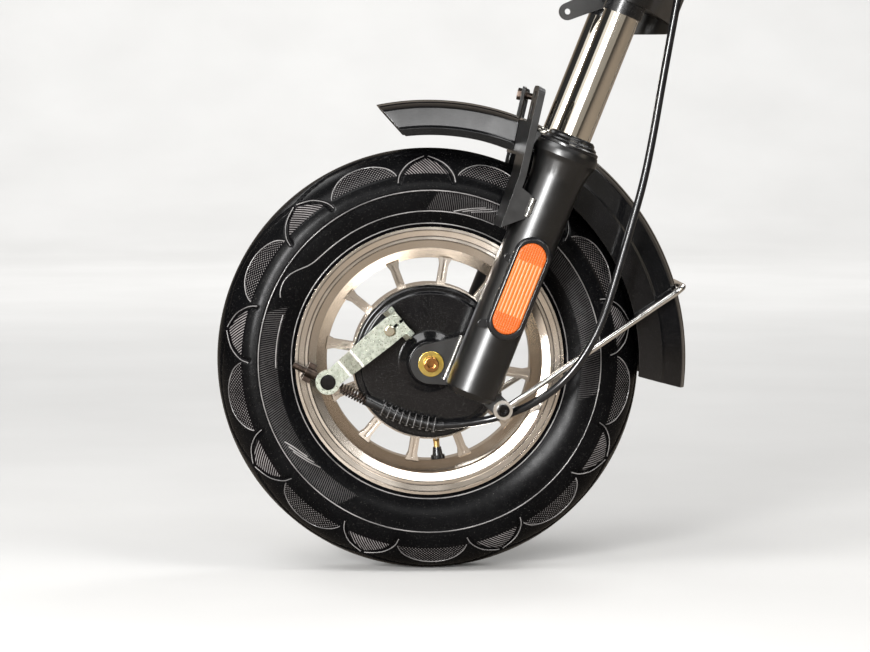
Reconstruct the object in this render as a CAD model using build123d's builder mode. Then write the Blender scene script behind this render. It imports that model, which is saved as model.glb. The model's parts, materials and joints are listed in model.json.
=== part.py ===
from build123d import *
import os
from math import cos, pi, radians, sin, sqrt, tan

os.makedirs("parts", exist_ok=True)

# Front wheel and suspension fork of an electric tricycle.
# Millimetres. +X is forward, +Y is the rider's left, +Z is up.
# The origin lies on the steering axis, half way up the bearing wall of the steerer.

# Driving dimensions of the fork
rake = 21.8
leg_spacing = 136.0
axle_lead = 39.3
steerer_setback = 32.0
leg_radius = 22.5
leg_wall = 5.0
leg_below_axle = 13.5
leg_foot_chamfer = 5.0
leg_above_axle = 213.0
leg_floor = 34.0
mouth_start = 29.0
mouth_neck_radius = 25.3
mouth_neck_height = 14.0
mouth_radius = 27.9
mouth_height = 8.6
mouth_land = 4.4
mouth_rim_radius = 26.4
stanchion_radius = 15.5
stanchion_wall = 2.5
stanchion_hidden = 95.0
slide_fit = 0.05
seal_height = 11.0
seal_foot_radius = 26.0
seal_step_radius = 23.3
seal_neck_radius = 20.4
seal_lip_radius = 18.2
seal_step = 2.7
stanchion_shown = 109.5
stanchion_plug = 5.0
band_height = 11.5
band_wall = 1.6

# Driving dimensions of the yoke and steerer
yoke_height = 26.0
yoke_wall = 6.5
steering_boss_radius = 19.5
steering_boss_drop = 30.0
boss_level = 280.5
steerer_radius = 15.0
steerer_seat_radius = 16.5
steerer_wall = 3.0
steerer_bearing_length = 150.0
steerer_thread_length = 36.0
steerer_thread_radius = 14.0
steerer_tail = 7.0
race_radius = 21.0
race_height = 7.0
race_lip = 3.0
lug_radius = 7.6
lug_hole_radius = 2.6
lug_thickness = 5.0
lug_reach = 35.4
lug_drop = 19.1
lug_left = -44.0
lug_root = 2.0

# Driving dimensions of the wheel
tyre_radius = 183.0
tyre_half_width = 39.5
tyre_wide_share = 0.452
tyre_shoulder_share = 0.674
tyre_shoulder_half_width = 36.0
tyre_wall = 7.0
tyre_shoulder_wall = 9.0
tyre_crown_wall = 10.0
tyre_inner_rise = 3.0
tyre_foot_half_width = 33.0
tyre_foot_rise = 2.5
tyre_foot_gap = 0.5
bead_toe = 11.0
bead_neck = 8.0
flange_radius = 115.5
flange_half_width = 32.0
flange_thickness = 4.6
flange_height = 14.1
rim_bead_height = 2.4
rim_bead_step = 0.8
rim_band_height = 5.2
rim_band_slope = 0.4
rim_step = 1.0
rim_land = 2.6
rim_cone = 4.5
bead_width = 14.0
bead_slant = 1.5
well_depth = 9.4
well_half_width = 9.0
rim_wall = 4.0
spoke_count = 12
spoke_start_angle = 9.4
spoke_width = 7.4
spoke_flare = 2.2
spoke_flare_length = 6.0
spoke_front = 11.0
spoke_depth = 17.0
spoke_overlap = 2.0
spoke_groove = 2.6
spoke_groove_depth = 3.0
drum_radius = 67.0
drum_bore_radius = 55.0
drum_front = 33.0
drum_back = -8.0
drum_chamfer = 5.0
liner_wall = 3.0
plate_gap = 0.8
pan_gap = 2.0
hub_disc_thickness = 7.0
hub_boss_radius = 22.0
hub_boss_back = -31.0
hub_boss_front = 9.0
hub_root = 6.0
bearing_radius = 15.0
bearing_width = 9.0
bearing_shoulder = 4.0
bearing_recess = 3.0
axle_radius = 5.0
axle_fit = 0.05
valve_angle = 264.4
valve_across = 3.0
valve_foot_radius = 6.0
valve_foot_share = 0.145
valve_stem_radius = 4.5
valve_stem_share = 0.338
valve_cap_radius = 2.6
valve_cap_share = 0.29

# Driving dimensions of the drum brake
plate_radius = 65.6
plate_thickness = 5.0
plate_front = 36.0
plate_edge = 1.5
plate_rim_width = 5.6
plate_rim_drop = 1.2
plate_inner_boss_radius = 9.0
cone_radius = 26.5
cone_top_radius = 20.5
cone_height = 7.0
plate_boss_radius = 18.5
cam_forward = 34.8
cam_up = 28.0
cam_radius = 5.0
cam_boss_radius = 9.5
cam_boss_height = 8.0
cam_tail = 16.0
cam_proud = 2.5
arm_length = 68.8
arm_fall = 40.0
arm_thickness = 5.4
arm_head_width = 21.0
arm_head_reach = 14.0
arm_head_front = 8.0
arm_neck_width = 15.5
arm_neck_back = 4.0
arm_eye_radius = 10.6
arm_gap = 4.5
arm_step = 4.0
arm_step_start = 37.0
arm_step_run = 13.0
arm_slit = 2.6
pinch_offset = 9.8
pinch_radius = 1.6
pinch_fit = 0.05
pinch_head_radius = 5.6
pinch_head_height = 4.4
pinch_nut_height = 5.0
pinch_end = 1.5
pin_radius = 6.5
pin_proud = 1.6
pin_inner_reach = 1.5
rod_radius = 2.6
rod_reach = 33.0
rod_tail = 1.5
rod_fit = 0.05
wing_nut_radius = 4.6
wing_nut_reach = 12.0
wing_nut_length = 9.0
wing_span = 17.0
wing_thickness = 2.4
wing_rise = 2.0

# Driving dimensions of the dropouts and axle ends
dropout_thickness = 8.0
dropout_radius = 17.2
dropout_height = 47.0
dropout_root = 15.0
dropout_rise = 13.5
dropout_inner = 49.0
washer_radius = 10.9
washer_thickness = 2.4
axle_head_radius = 6.5
axle_head_height = 8.0
socket_across = 6.0
socket_depth = 5.0
nut_across = 17.0
nut_height = 9.0
axle_tail = 4.0
spacer_radius = 9.0

# Driving dimensions of the mudguard, its bridge and its stay
guard_gap = 41.0
guard_half_width = 38.0
guard_front_depth = 30.0
guard_rear_depth = 44.0
guard_shoulder_drop = 6.5
guard_side_height = 17.0
guard_wall = 2.4
guard_front_angle = 101.5
guard_front_lip_angle = 96.1
guard_rear_angle = -6.5
guard_rear_lip_angle = -4.3
guard_middle_angle = 67.5
guard_overlap_angle = 7.5
bridge_wall = 3.0
bridge_half_width = 87.0
bridge_forward = 31.5
bridge_bow = 6.0
bridge_flat_half_width = 40.0
bridge_lower_tilt = 1.9
bridge_upper_tilt = 8.9
bridge_web_inset = 3.0
bridge_web_height = 29.0
bridge_kink_drop = 44.0
bridge_ear_rise = 31.0
bridge_strap_drop = 91.0
bridge_flange = 6.0
bridge_lug_rise = 15.3
bridge_lug_height = 18.5
bridge_lug_flare = 3.8
bridge_lug_rear = 12.6
bridge_strap_width = 34.0
bridge_ear_width = 22.0
ear_corner = 5.0
ear_round = 3.5
ear_edge = 2.8
ear_hole_radius = 3.0
ear_hole_drop = 7.5
ear_slot_length = 14.0
ear_slot_width = 5.0
ear_slot_drop = 14.0
ear_bolt_radius = 5.5
ear_bolt_head = 4.0
ear_bolt_length = 13.5
stay_radius = 2.75
stay_eye_radius = 8.3
stay_eye_bore = 3.3
stay_eye_half = 3.2
stay_eye_forward = -60.5
stay_eye_up = -38.5
stay_angle = 16.3
stay_bend = 12.0
stay_left = 69.0
stay_neck = 12.0
stay_overlap = 1.5
stay_tab = 5.0
stay_tab_inset = 0.5
stay_tab_root = (-8.0, -4.0)
stay_tab_height = 17.0
stay_screw_radius = 5.4
stay_screw_head = 5.0
stay_screw_key = 5.0
stay_screw_tail = 4.0
seat_gap = 0.3

# Driving dimensions of the side reflectors
reflector_length = 91.0
reflector_width = 32.0
reflector_depth = 8.0
reflector_edge = 2.0
lens_length = 80.4
lens_width = 24.4
lens_depth = 3.0
lens_proud = 0.6
lens_gap = 0.2
reflector_up = 88.3
reflector_forward = -3.3
reflector_plate = 3.0
ear_radius = 3.4
ear_forward = 18.5
ear_root = 6.0
ear_up = (-38.7, 21.2)

# Driving dimensions of the brake cable
cable_radius = 3.4
wire_radius = 1.0
wire_tuck = 2.0
boot_radius = 4.6
boot_rib_radius = 6.4
boot_rib_count = 9
boot_rib_width = 2.6
boot_rib_first = 0.23
boot_rib_last = 0.88
spring_radius = 5.0
spring_wall = 1.4
cap_wall = 0.8
cap_length = 14.0
wire_length = 30.0
nipple_radius = 3.5
nipple_width = 8.0
guide_thickness = 3.0
guide_radius = 7.0
guide_root = (-20.0, 55.0)
guide_root_radius = 6.0

# Corners of the boot and of the cable, each measured from the wheel's centre:
# (forward, to the left, up)
boot_corners = [(54.8, 41.5, -32.4), (40.3, 42.5, -39.6), (25.8, 43.5, -46.2), (10.5, 44.5, -50.8),
                (-6.6, 45.9, -53.9), (-12, 46.4, -53.7)]
cable_corners = [(-23.88, 47.5, -53.26), (-37, 48.7, -51.2), (-49.1, 50, -49), (-62.6, 53, -44.8),
                 (-75.9, 58.5, -39.5), (-88.2, 64.5, -32.6), (-99.7, 70, -24.6), (-110.4, 73.5, -15.1),
                 (-121.3, 75.2, -3), (-131.4, 75.2, 11.4), (-142.1, 73.6, 30.9), (-151.3, 69.5, 55.6),
                 (-161.3, 65.5, 88), (-171.5, 61.4, 122.2), (-181.1, 58, 155.2), (-189.1, 54.5, 193.3),
                 (-195.9, 52, 232.3), (-202, 50.4, 266), (-207.6, 49.6, 296.1), (-215.2, 47.6, 337.2)]

# Directions and places worked out from the driving dimensions
fork_up = Vector(-sin(radians(rake)), 0, cos(radians(rake)))
fork_forward = Vector(cos(radians(rake)), 0, sin(radians(rake)))
left = Vector(0, 1, 0)
leg_top = leg_above_axle
seal_top = leg_top + seal_height
band_bottom = seal_top + stanchion_shown
yoke_bottom = band_bottom + band_height
yoke_top = yoke_bottom + yoke_height
clamp_radius = stanchion_radius + yoke_wall
bearing_bottom = yoke_top + race_height
mount_height = bearing_bottom + steerer_bearing_length / 2
leg_side = leg_spacing / 2
bead_radius = flange_radius - flange_height
well_radius = bead_radius - well_depth
tyre_depth = tyre_radius - flange_radius
tyre_wide_radius = flange_radius + tyre_wide_share * tyre_depth
tyre_shoulder_radius = flange_radius + tyre_shoulder_share * tyre_depth
guard_radius = tyre_radius + guard_gap
bridge_web_top = guard_radius - bridge_web_inset
bridge_web_bottom = bridge_web_top - bridge_web_height
bridge_kink = bridge_web_top - bridge_kink_drop
bridge_top = bridge_web_top + bridge_ear_rise
bridge_bottom = bridge_web_top - bridge_strap_drop
axle_foot = fork_up * -mount_height + fork_forward * steerer_setback
wheel_centre = axle_foot + fork_forward * axle_lead


def on_fork(forward, across, up):
    """A point by its distance ahead of the leg axes, to the left, and up the legs from the axle."""
    return axle_foot + fork_forward * forward + left * across + fork_up * up


def on_wheel(forward, across, up):
    """A point by its distance ahead of, left of and above the wheel's centre."""
    return wheel_centre + Vector(forward, across, up)


def across_leg(forward, across, up):
    """The plane square to the legs, its x forward and its y to the left."""
    return Plane(origin=on_fork(forward, across, up), x_dir=fork_forward, z_dir=fork_up)


def along_leg(forward, across, up):
    """The upright plane along the legs, its x forward and its y up the legs."""
    return Plane(origin=on_fork(forward, across, up), x_dir=fork_forward, z_dir=-left)


def wheel_side(across):
    """The upright plane square to the axle, its x forward and its y up, facing right."""
    return Plane(origin=on_wheel(0, across, 0), x_dir=(1, 0, 0), z_dir=-left)


def facing_left(point):
    """The upright plane through a point, its x forward, facing left."""
    return Plane(origin=point, x_dir=(1, 0, 0), z_dir=left)


wheel_section = Plane(origin=wheel_centre, x_dir=left, z_dir=(1, 0, 0))
wheel_axis = Axis(wheel_centre, left)
steering_axis = Axis((0, 0, 0), fork_up)
made = []


def keep(piece, name):
    """Label a finished piece and put it on the list to be written."""
    piece.part.label = name
    made.append(piece)


# Tyre: a hollow carcass with a round crown and two beads
bead_side = flange_half_width - flange_thickness
crown_fall = 0.23 * (tyre_radius - tyre_shoulder_radius)
shoulder = (tyre_shoulder_half_width, tyre_shoulder_radius)
inner_shoulder = (tyre_shoulder_half_width - tyre_shoulder_wall, tyre_shoulder_radius + tyre_inner_rise)
foot = (tyre_foot_half_width, flange_radius + tyre_foot_rise)
inner_foot = (bead_side - bead_neck, flange_radius)
inner_crown = tyre_radius - tyre_crown_wall
with BuildPart() as tyre:
    with BuildSketch(wheel_section):
        with BuildLine():
            ThreePointArc((0, tyre_radius), (shoulder[0] / 2, tyre_radius - crown_fall), shoulder)
            ThreePointArc(shoulder, (tyre_half_width, tyre_wide_radius), foot)
            Polyline(foot, (bead_side, flange_radius + tyre_foot_gap), (bead_side, bead_radius),
                     (bead_side - bead_toe, bead_radius), inner_foot)
            ThreePointArc(inner_foot, (tyre_half_width - tyre_wall, tyre_wide_radius), inner_shoulder)
            inner_middle = (inner_shoulder[0] / 2, inner_crown - crown_fall / 2)
            ThreePointArc(inner_shoulder, inner_middle, (0, inner_crown))
            Line((0, inner_crown), (0, tyre_radius))
        make_face()
        mirror(about=Plane.YZ)
    revolve(axis=wheel_axis)
keep(tyre, "tyre")

# Cast wheel: rim, spokes, drum shell, hub disc and boss in one casting
lip = flange_half_width
pan_back = plate_front - plate_thickness - pan_gap
disc_front = drum_back + hub_disc_thickness
bearing_back = hub_boss_back + bearing_recess
with BuildPart() as wheel_casting:
    with BuildSketch(wheel_section):
        with BuildLine():
            band_top = flange_radius - rim_bead_height
            band_side = lip - rim_bead_step
            land_top = band_top - rim_band_height
            land_side = band_side - rim_band_slope - rim_step
            cone_top = land_top - rim_step / 2 - rim_land
            Polyline((0, well_radius), (well_half_width, well_radius), (bead_side - bead_width, bead_radius),
                     (bead_side, bead_radius), (bead_side, flange_radius), (lip, flange_radius),
                     (lip, band_top), (band_side, band_top - rim_bead_step / 2),
                     (band_side - rim_band_slope, land_top), (land_side, land_top - rim_step / 2),
                     (land_side, cone_top), (land_side - rim_step / 2, cone_top - rim_step / 2),
                     (lip - rim_cone, bead_radius - rim_wall),
                     (bead_side - bead_width + bead_slant, bead_radius - rim_wall),
                     (well_half_width, well_radius - rim_wall), (0, well_radius - rim_wall), close=True)
        make_face()
        mirror(about=Plane.YZ)
    revolve(axis=wheel_axis)
    with BuildSketch(wheel_section):
        with BuildLine():
            Polyline((drum_front, drum_radius), (drum_front, plate_radius + plate_gap),
                     (pan_back, plate_radius + plate_gap), (pan_back, drum_bore_radius + liner_wall),
                     (disc_front, drum_bore_radius + liner_wall), (disc_front, hub_boss_radius + pan_gap),
                     (hub_boss_front, hub_boss_radius), (hub_boss_front, bearing_radius),
                     (hub_boss_front - bearing_width, bearing_radius),
                     (hub_boss_front - bearing_width, bearing_radius - bearing_shoulder),
                     (bearing_back + bearing_width, bearing_radius - bearing_shoulder),
                     (bearing_back + bearing_width, bearing_radius), (hub_boss_back, bearing_radius),
                     (hub_boss_back, hub_boss_radius - pan_gap), (drum_back, hub_boss_radius + hub_root),
                     (drum_back, drum_radius - drum_chamfer), (drum_back + drum_chamfer, drum_radius),
                     close=True)
        make_face()
    revolve(axis=wheel_axis)
    spoke_root = drum_radius - spoke_overlap
    spoke_tip = well_radius - rim_wall + spoke_overlap / 2
    neck = spoke_tip - spoke_flare_length
    half = spoke_width / 2
    with BuildSketch(facing_left(on_wheel(0, spoke_front, 0))):
        with PolarLocations(0, spoke_count, start_angle=-spoke_start_angle):
            with BuildLine(mode=Mode.PRIVATE) as spoke_outline:
                Polyline((spoke_root, half), (neck, half), (spoke_tip, half + spoke_flare),
                         (spoke_tip, -half - spoke_flare), (neck, -half), (spoke_root, -half), close=True)
            add(make_face(spoke_outline.edges(), mode=Mode.PRIVATE))
    extrude(amount=-spoke_depth)
    with BuildSketch(facing_left(on_wheel(0, spoke_front, 0))):
        with PolarLocations((drum_radius + spoke_tip) / 2, spoke_count, start_angle=-spoke_start_angle):
            Rectangle(spoke_tip - drum_radius - 2 * spoke_overlap, spoke_groove)
    extrude(amount=-spoke_groove_depth, mode=Mode.SUBTRACT)
keep(wheel_casting, "wheel_casting")

# Steel liner pressed into the drum
with BuildPart() as drum_liner:
    with BuildSketch(facing_left(on_wheel(0, disc_front, 0))):
        Circle(drum_bore_radius + liner_wall)
        Circle(drum_bore_radius, mode=Mode.SUBTRACT)
    extrude(amount=pan_back - disc_front)
keep(drum_liner, "drum_liner")

# Wheel bearings, left and right
bearing_places = {"wheel_bearing_left": hub_boss_front - bearing_width,
                  "wheel_bearing_right": bearing_back}
for bearing_name, bearing_across in bearing_places.items():
    with BuildPart() as bearing:
        with BuildSketch(facing_left(on_wheel(0, bearing_across, 0))):
            Circle(bearing_radius)
            Circle(axle_radius + axle_fit, mode=Mode.SUBTRACT)
        extrude(amount=bearing_width)
    keep(bearing, bearing_name)

# Tyre valve: a rubber foot in the well and a stem that points at the hub
valve_direction = Vector(cos(radians(valve_angle)), 0, sin(radians(valve_angle)))


def valve_plane(radius):
    """The plane square to the valve at a distance from the wheel's centre, facing the hub."""
    return Plane(origin=wheel_centre + valve_direction * radius + left * valve_across, x_dir=left,
                 z_dir=-valve_direction)


valve_seat = well_radius - rim_wall - seat_gap
valve_room = valve_seat - drum_radius
valve_foot_height = valve_foot_share * valve_room
valve_stem_height = valve_stem_share * valve_room
valve_cap_height = valve_cap_share * valve_room
with BuildPart() as valve_foot:
    with BuildSketch(valve_plane(valve_seat)):
        Circle(valve_foot_radius)
    extrude(amount=valve_foot_height)
    with BuildSketch(valve_plane(valve_seat - valve_foot_height)):
        Circle(valve_stem_radius)
    extrude(amount=valve_stem_height, taper=8)
keep(valve_foot, "valve_foot")
with BuildPart() as valve_cap:
    with BuildSketch(valve_plane(valve_seat - valve_foot_height - valve_stem_height)):
        Circle(valve_cap_radius)
    extrude(amount=valve_cap_height)
    fillet(valve_cap.edges().sort_by(Axis((0, 0, 0), -valve_direction))[-1], 0.8)
keep(valve_cap, "valve_cap")

# Drum brake plate: a shallow pan with a lowered rim, a cone round the axle and a boss for the cam
with BuildPart() as brake_plate:
    with BuildSketch(wheel_section):
        with BuildLine():
            plate_back = plate_front - plate_thickness
            rim_side = plate_front - plate_rim_drop
            Polyline((plate_back, axle_radius + axle_fit),
                     (hub_boss_front + seat_gap, axle_radius + axle_fit),
                     (hub_boss_front + seat_gap, plate_inner_boss_radius),
                     (plate_back, plate_inner_boss_radius + liner_wall), (plate_back, plate_radius),
                     (rim_side - plate_edge, plate_radius), (rim_side, plate_radius - plate_edge),
                     (rim_side, plate_radius - plate_rim_width),
                     (plate_front, plate_radius - plate_rim_width - plate_rim_drop),
                     (plate_front, cone_radius), (plate_front + cone_height, cone_top_radius),
                     (dropout_inner, plate_boss_radius),
                     (dropout_inner, axle_radius + axle_fit), close=True)
        make_face()
    revolve(axis=wheel_axis)
    with BuildSketch(facing_left(on_wheel(cam_forward, rim_side, cam_up))):
        Circle(cam_boss_radius)
    extrude(amount=plate_rim_drop + cam_boss_height)
    with BuildSketch(facing_left(on_wheel(cam_forward, plate_back, cam_up))):
        Circle(cam_radius + axle_fit)
    extrude(amount=plate_thickness + cam_boss_height, mode=Mode.SUBTRACT)
keep(brake_plate, "brake_plate")

# Brake arm: a stamped strap, slit at the cam shaft and stepped towards its eye
arm_inner = plate_front + cam_boss_height + arm_gap
arm_outer = arm_inner + arm_thickness
arm_direction = Vector(cos(radians(arm_fall)), 0, -sin(radians(arm_fall)))
arm_normal = arm_direction.cross(left)
cam_point = on_wheel(cam_forward, 0, cam_up)
eye_point = cam_point + arm_direction * arm_length
arm_face = Plane(origin=cam_point + left * (arm_inner - arm_step), x_dir=arm_direction, z_dir=left)
arm_edge = Plane(origin=cam_point + left * arm_inner, x_dir=arm_direction, z_dir=arm_normal)
pinch_point = cam_point - arm_direction * pinch_offset + left * (arm_inner + arm_thickness / 2)
with BuildPart() as brake_arm:
    with BuildSketch(arm_face):
        with BuildLine():
            Polyline((-arm_head_reach, arm_head_width / 2), (arm_head_front, arm_head_width / 2),
                     (arm_length - arm_neck_back, arm_neck_width / 2),
                     (arm_length - arm_neck_back, -arm_neck_width / 2),
                     (arm_head_front, -arm_head_width / 2), (-arm_head_reach, -arm_head_width / 2),
                     close=True)
        make_face()
        with Locations((arm_length, 0)):
            Circle(arm_eye_radius)
            Circle(pin_radius + rod_fit, mode=Mode.SUBTRACT)
        Circle(cam_radius + axle_fit, mode=Mode.SUBTRACT)
        with Locations((-arm_head_reach / 2, 0)):
            Rectangle(arm_head_reach, arm_slit, mode=Mode.SUBTRACT)
    extrude(amount=arm_step + arm_thickness)
    with BuildSketch(arm_edge):
        with BuildLine():
            reach = arm_length + arm_eye_radius + 1
            Polyline((-arm_head_reach - 1, 0), (arm_step_start, 0),
                     (arm_step_start + arm_step_run, -arm_step), (reach, -arm_step),
                     (reach, arm_thickness - arm_step),
                     (arm_step_start + arm_step_run, arm_thickness - arm_step),
                     (arm_step_start, arm_thickness), (-arm_head_reach - 1, arm_thickness), close=True)
        make_face()
    extrude(amount=arm_head_width, both=True, mode=Mode.INTERSECT)
    with BuildSketch(Plane(origin=pinch_point, x_dir=left, z_dir=arm_normal)):
        Circle(pinch_radius + pinch_fit)
    extrude(amount=arm_head_width, both=True, mode=Mode.SUBTRACT)
keep(brake_arm, "brake_arm")

with BuildPart() as brake_cam_shaft:
    with BuildSketch(facing_left(on_wheel(cam_forward, plate_front - cam_tail, cam_up))):
        Circle(cam_radius)
    extrude(amount=cam_tail + cam_boss_height + arm_gap + arm_thickness + cam_proud)
    chamfer(brake_cam_shaft.edges().group_by(Axis.Y)[-1], 1.2)
keep(brake_cam_shaft, "brake_cam_shaft")

# Pinch bolt through the arm's slit end, with its head and nut
pinch_seat = pinch_point + arm_normal * (arm_head_width / 2)
pinch_far_seat = pinch_point - arm_normal * (arm_head_width / 2)
with BuildPart() as arm_pinch_bolt:
    with BuildSketch(Plane(origin=pinch_seat, x_dir=left, z_dir=arm_normal)):
        RegularPolygon(pinch_head_radius, 6)
    extrude(amount=pinch_head_height)
    with BuildSketch(Plane(origin=pinch_far_seat, x_dir=left, z_dir=-arm_normal)):
        RegularPolygon(pinch_head_radius, 6)
    extrude(amount=pinch_nut_height)
    with BuildSketch(Plane(origin=pinch_seat, x_dir=left, z_dir=-arm_normal)):
        Circle(pinch_radius)
    extrude(amount=arm_head_width + pinch_nut_height + pinch_end)
keep(arm_pinch_bolt, "arm_pinch_bolt")

# Swivel pin in the arm's eye, bored across for the threaded end of the cable
pin_outer = arm_outer - arm_step + pin_proud
rod_across = arm_inner - arm_step - seat_gap - rod_radius
boot_start = on_wheel(*boot_corners[0])
pin_centre = eye_point + left * rod_across
rod_direction = (pin_centre - boot_start).normalized()
rod_length = (pin_centre - boot_start).length


def rod_plane(reach):
    """The plane square to the threaded end, at a distance ahead of the swivel pin."""
    return Plane(origin=pin_centre + rod_direction * reach, x_dir=left, z_dir=rod_direction)


with BuildPart() as swivel_pin:
    with BuildSketch(Plane(origin=eye_point + left * pin_outer, x_dir=(1, 0, 0), z_dir=-left)):
        Circle(pin_radius)
    extrude(amount=pin_outer - rod_across + rod_radius + pin_inner_reach)
    chamfer(swivel_pin.edges().group_by(Axis.Y)[-1], 0.8)
    with BuildSketch(rod_plane(-pin_radius - 1)):
        Circle(rod_radius + rod_fit)
    extrude(amount=2 * pin_radius + 2, mode=Mode.SUBTRACT)
keep(swivel_pin, "swivel_pin")

with BuildPart() as cable_rod:
    with BuildSketch(rod_plane(rod_reach)):
        Circle(rod_radius)
    extrude(amount=-rod_reach - pin_radius - rod_tail)
    with BuildSketch(rod_plane(-pin_radius)):
        Circle(wire_radius)
    extrude(amount=pin_radius - rod_length - wire_tuck)
keep(cable_rod, "cable_rod")

with BuildPart() as wing_nut:
    with BuildSketch(rod_plane(wing_nut_reach)):
        Circle(wing_nut_radius)
        Circle(rod_radius + rod_fit, mode=Mode.SUBTRACT)
    extrude(amount=wing_nut_length)
    with BuildSketch(rod_plane(wing_nut_reach + wing_rise)):
        Rectangle(wing_thickness, wing_span)
        Circle(rod_radius + wing_rise / 2, mode=Mode.SUBTRACT)
    extrude(amount=wing_nut_length - wing_rise)
keep(wing_nut, "wing_nut")

with BuildPart() as arm_return_spring:
    with BuildSketch(rod_plane(-arm_eye_radius - 1)):
        Circle(spring_radius)
        Circle(spring_radius - spring_wall, mode=Mode.SUBTRACT)
    extrude(amount=arm_eye_radius + 1 + seat_gap - rod_length)
keep(arm_return_spring, "arm_return_spring")


def tube_path(points):
    """Straight runs joined by tangent arcs, each as large as its two runs allow."""
    radii = []
    for before, corner, after in zip(points, points[1:], points[2:]):
        turn = radians((corner - before).get_angle(after - corner))
        shorter = min((corner - before).length, (after - corner).length)
        radii.append(0.45 * shorter / tan(turn / 2))
    print("smallest arc", round(min(radii), 1))
    return FilletPolyline(*points, radius=radii)


# Boot on the end of the cable: a plain sleeve and a ribbed bellows along a gentle bend
boot_route = [on_wheel(*corner) for corner in boot_corners]
with BuildPart() as cable_boot:
    with BuildLine() as boot_line:
        tube_path(boot_route)
    with BuildSketch(Plane(origin=boot_start, z_dir=boot_line.wires()[0] % 0)):
        Circle(boot_radius)
    sweep(path=boot_line.wires()[0])
    rib_pitch = (boot_rib_last - boot_rib_first) / (boot_rib_count - 1)
    for rib in range(boot_rib_count):
        share = boot_rib_first + rib * rib_pitch
        rib_place = boot_line.wires()[0] @ share
        rib_direction = boot_line.wires()[0] % share
        with BuildSketch(Plane(origin=rib_place, z_dir=rib_direction)):
            Circle(boot_rib_radius)
        extrude(amount=boot_rib_width / 2, both=True)
    with BuildSketch(rod_plane(-rod_length - wire_tuck)):
        Circle(wire_radius + rod_fit)
    extrude(amount=wire_tuck + 2, mode=Mode.SUBTRACT)
keep(cable_boot, "cable_boot")

# Brake cable, from the boot under the leg and up beside the mudguard to the yoke
cable_route = [boot_route[-1]] + [on_wheel(*corner) for corner in cable_corners]
with BuildPart() as brake_cable:
    with BuildLine() as cable_line:
        tube_path(cable_route)
    with BuildSketch(Plane(origin=cable_route[0], z_dir=cable_line.wires()[0] % 0)):
        Circle(cable_radius)
    sweep(path=cable_line.wires()[0])
print("cable length", round(cable_line.wires()[0].length, 1), "volume share",
      round(brake_cable.part.volume / (pi * cable_radius ** 2 * cable_line.wires()[0].length), 4))
keep(brake_cable, "brake_cable")

# Upper end of the cable: a crimped cap, bare wire and a barrel nipple
cable_end_direction = cable_line.wires()[0] % 1
cable_top = cable_route[-1]
with BuildPart() as cable_end:
    with BuildSketch(Plane(origin=cable_top, z_dir=cable_end_direction)):
        Circle(cable_radius + cap_wall)
    extrude(amount=cap_length)
    with BuildSketch(Plane(origin=cable_top + cable_end_direction * cap_length, z_dir=cable_end_direction)):
        Circle(wire_radius)
    extrude(amount=wire_length)
    nipple_place = cable_top + cable_end_direction * (cap_length + wire_length + nipple_radius / 2)
    with BuildSketch(Plane(origin=nipple_place - left * (nipple_width / 2), z_dir=left)):
        Circle(nipple_radius)
    extrude(amount=nipple_width)
keep(cable_end, "cable_end")

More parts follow.
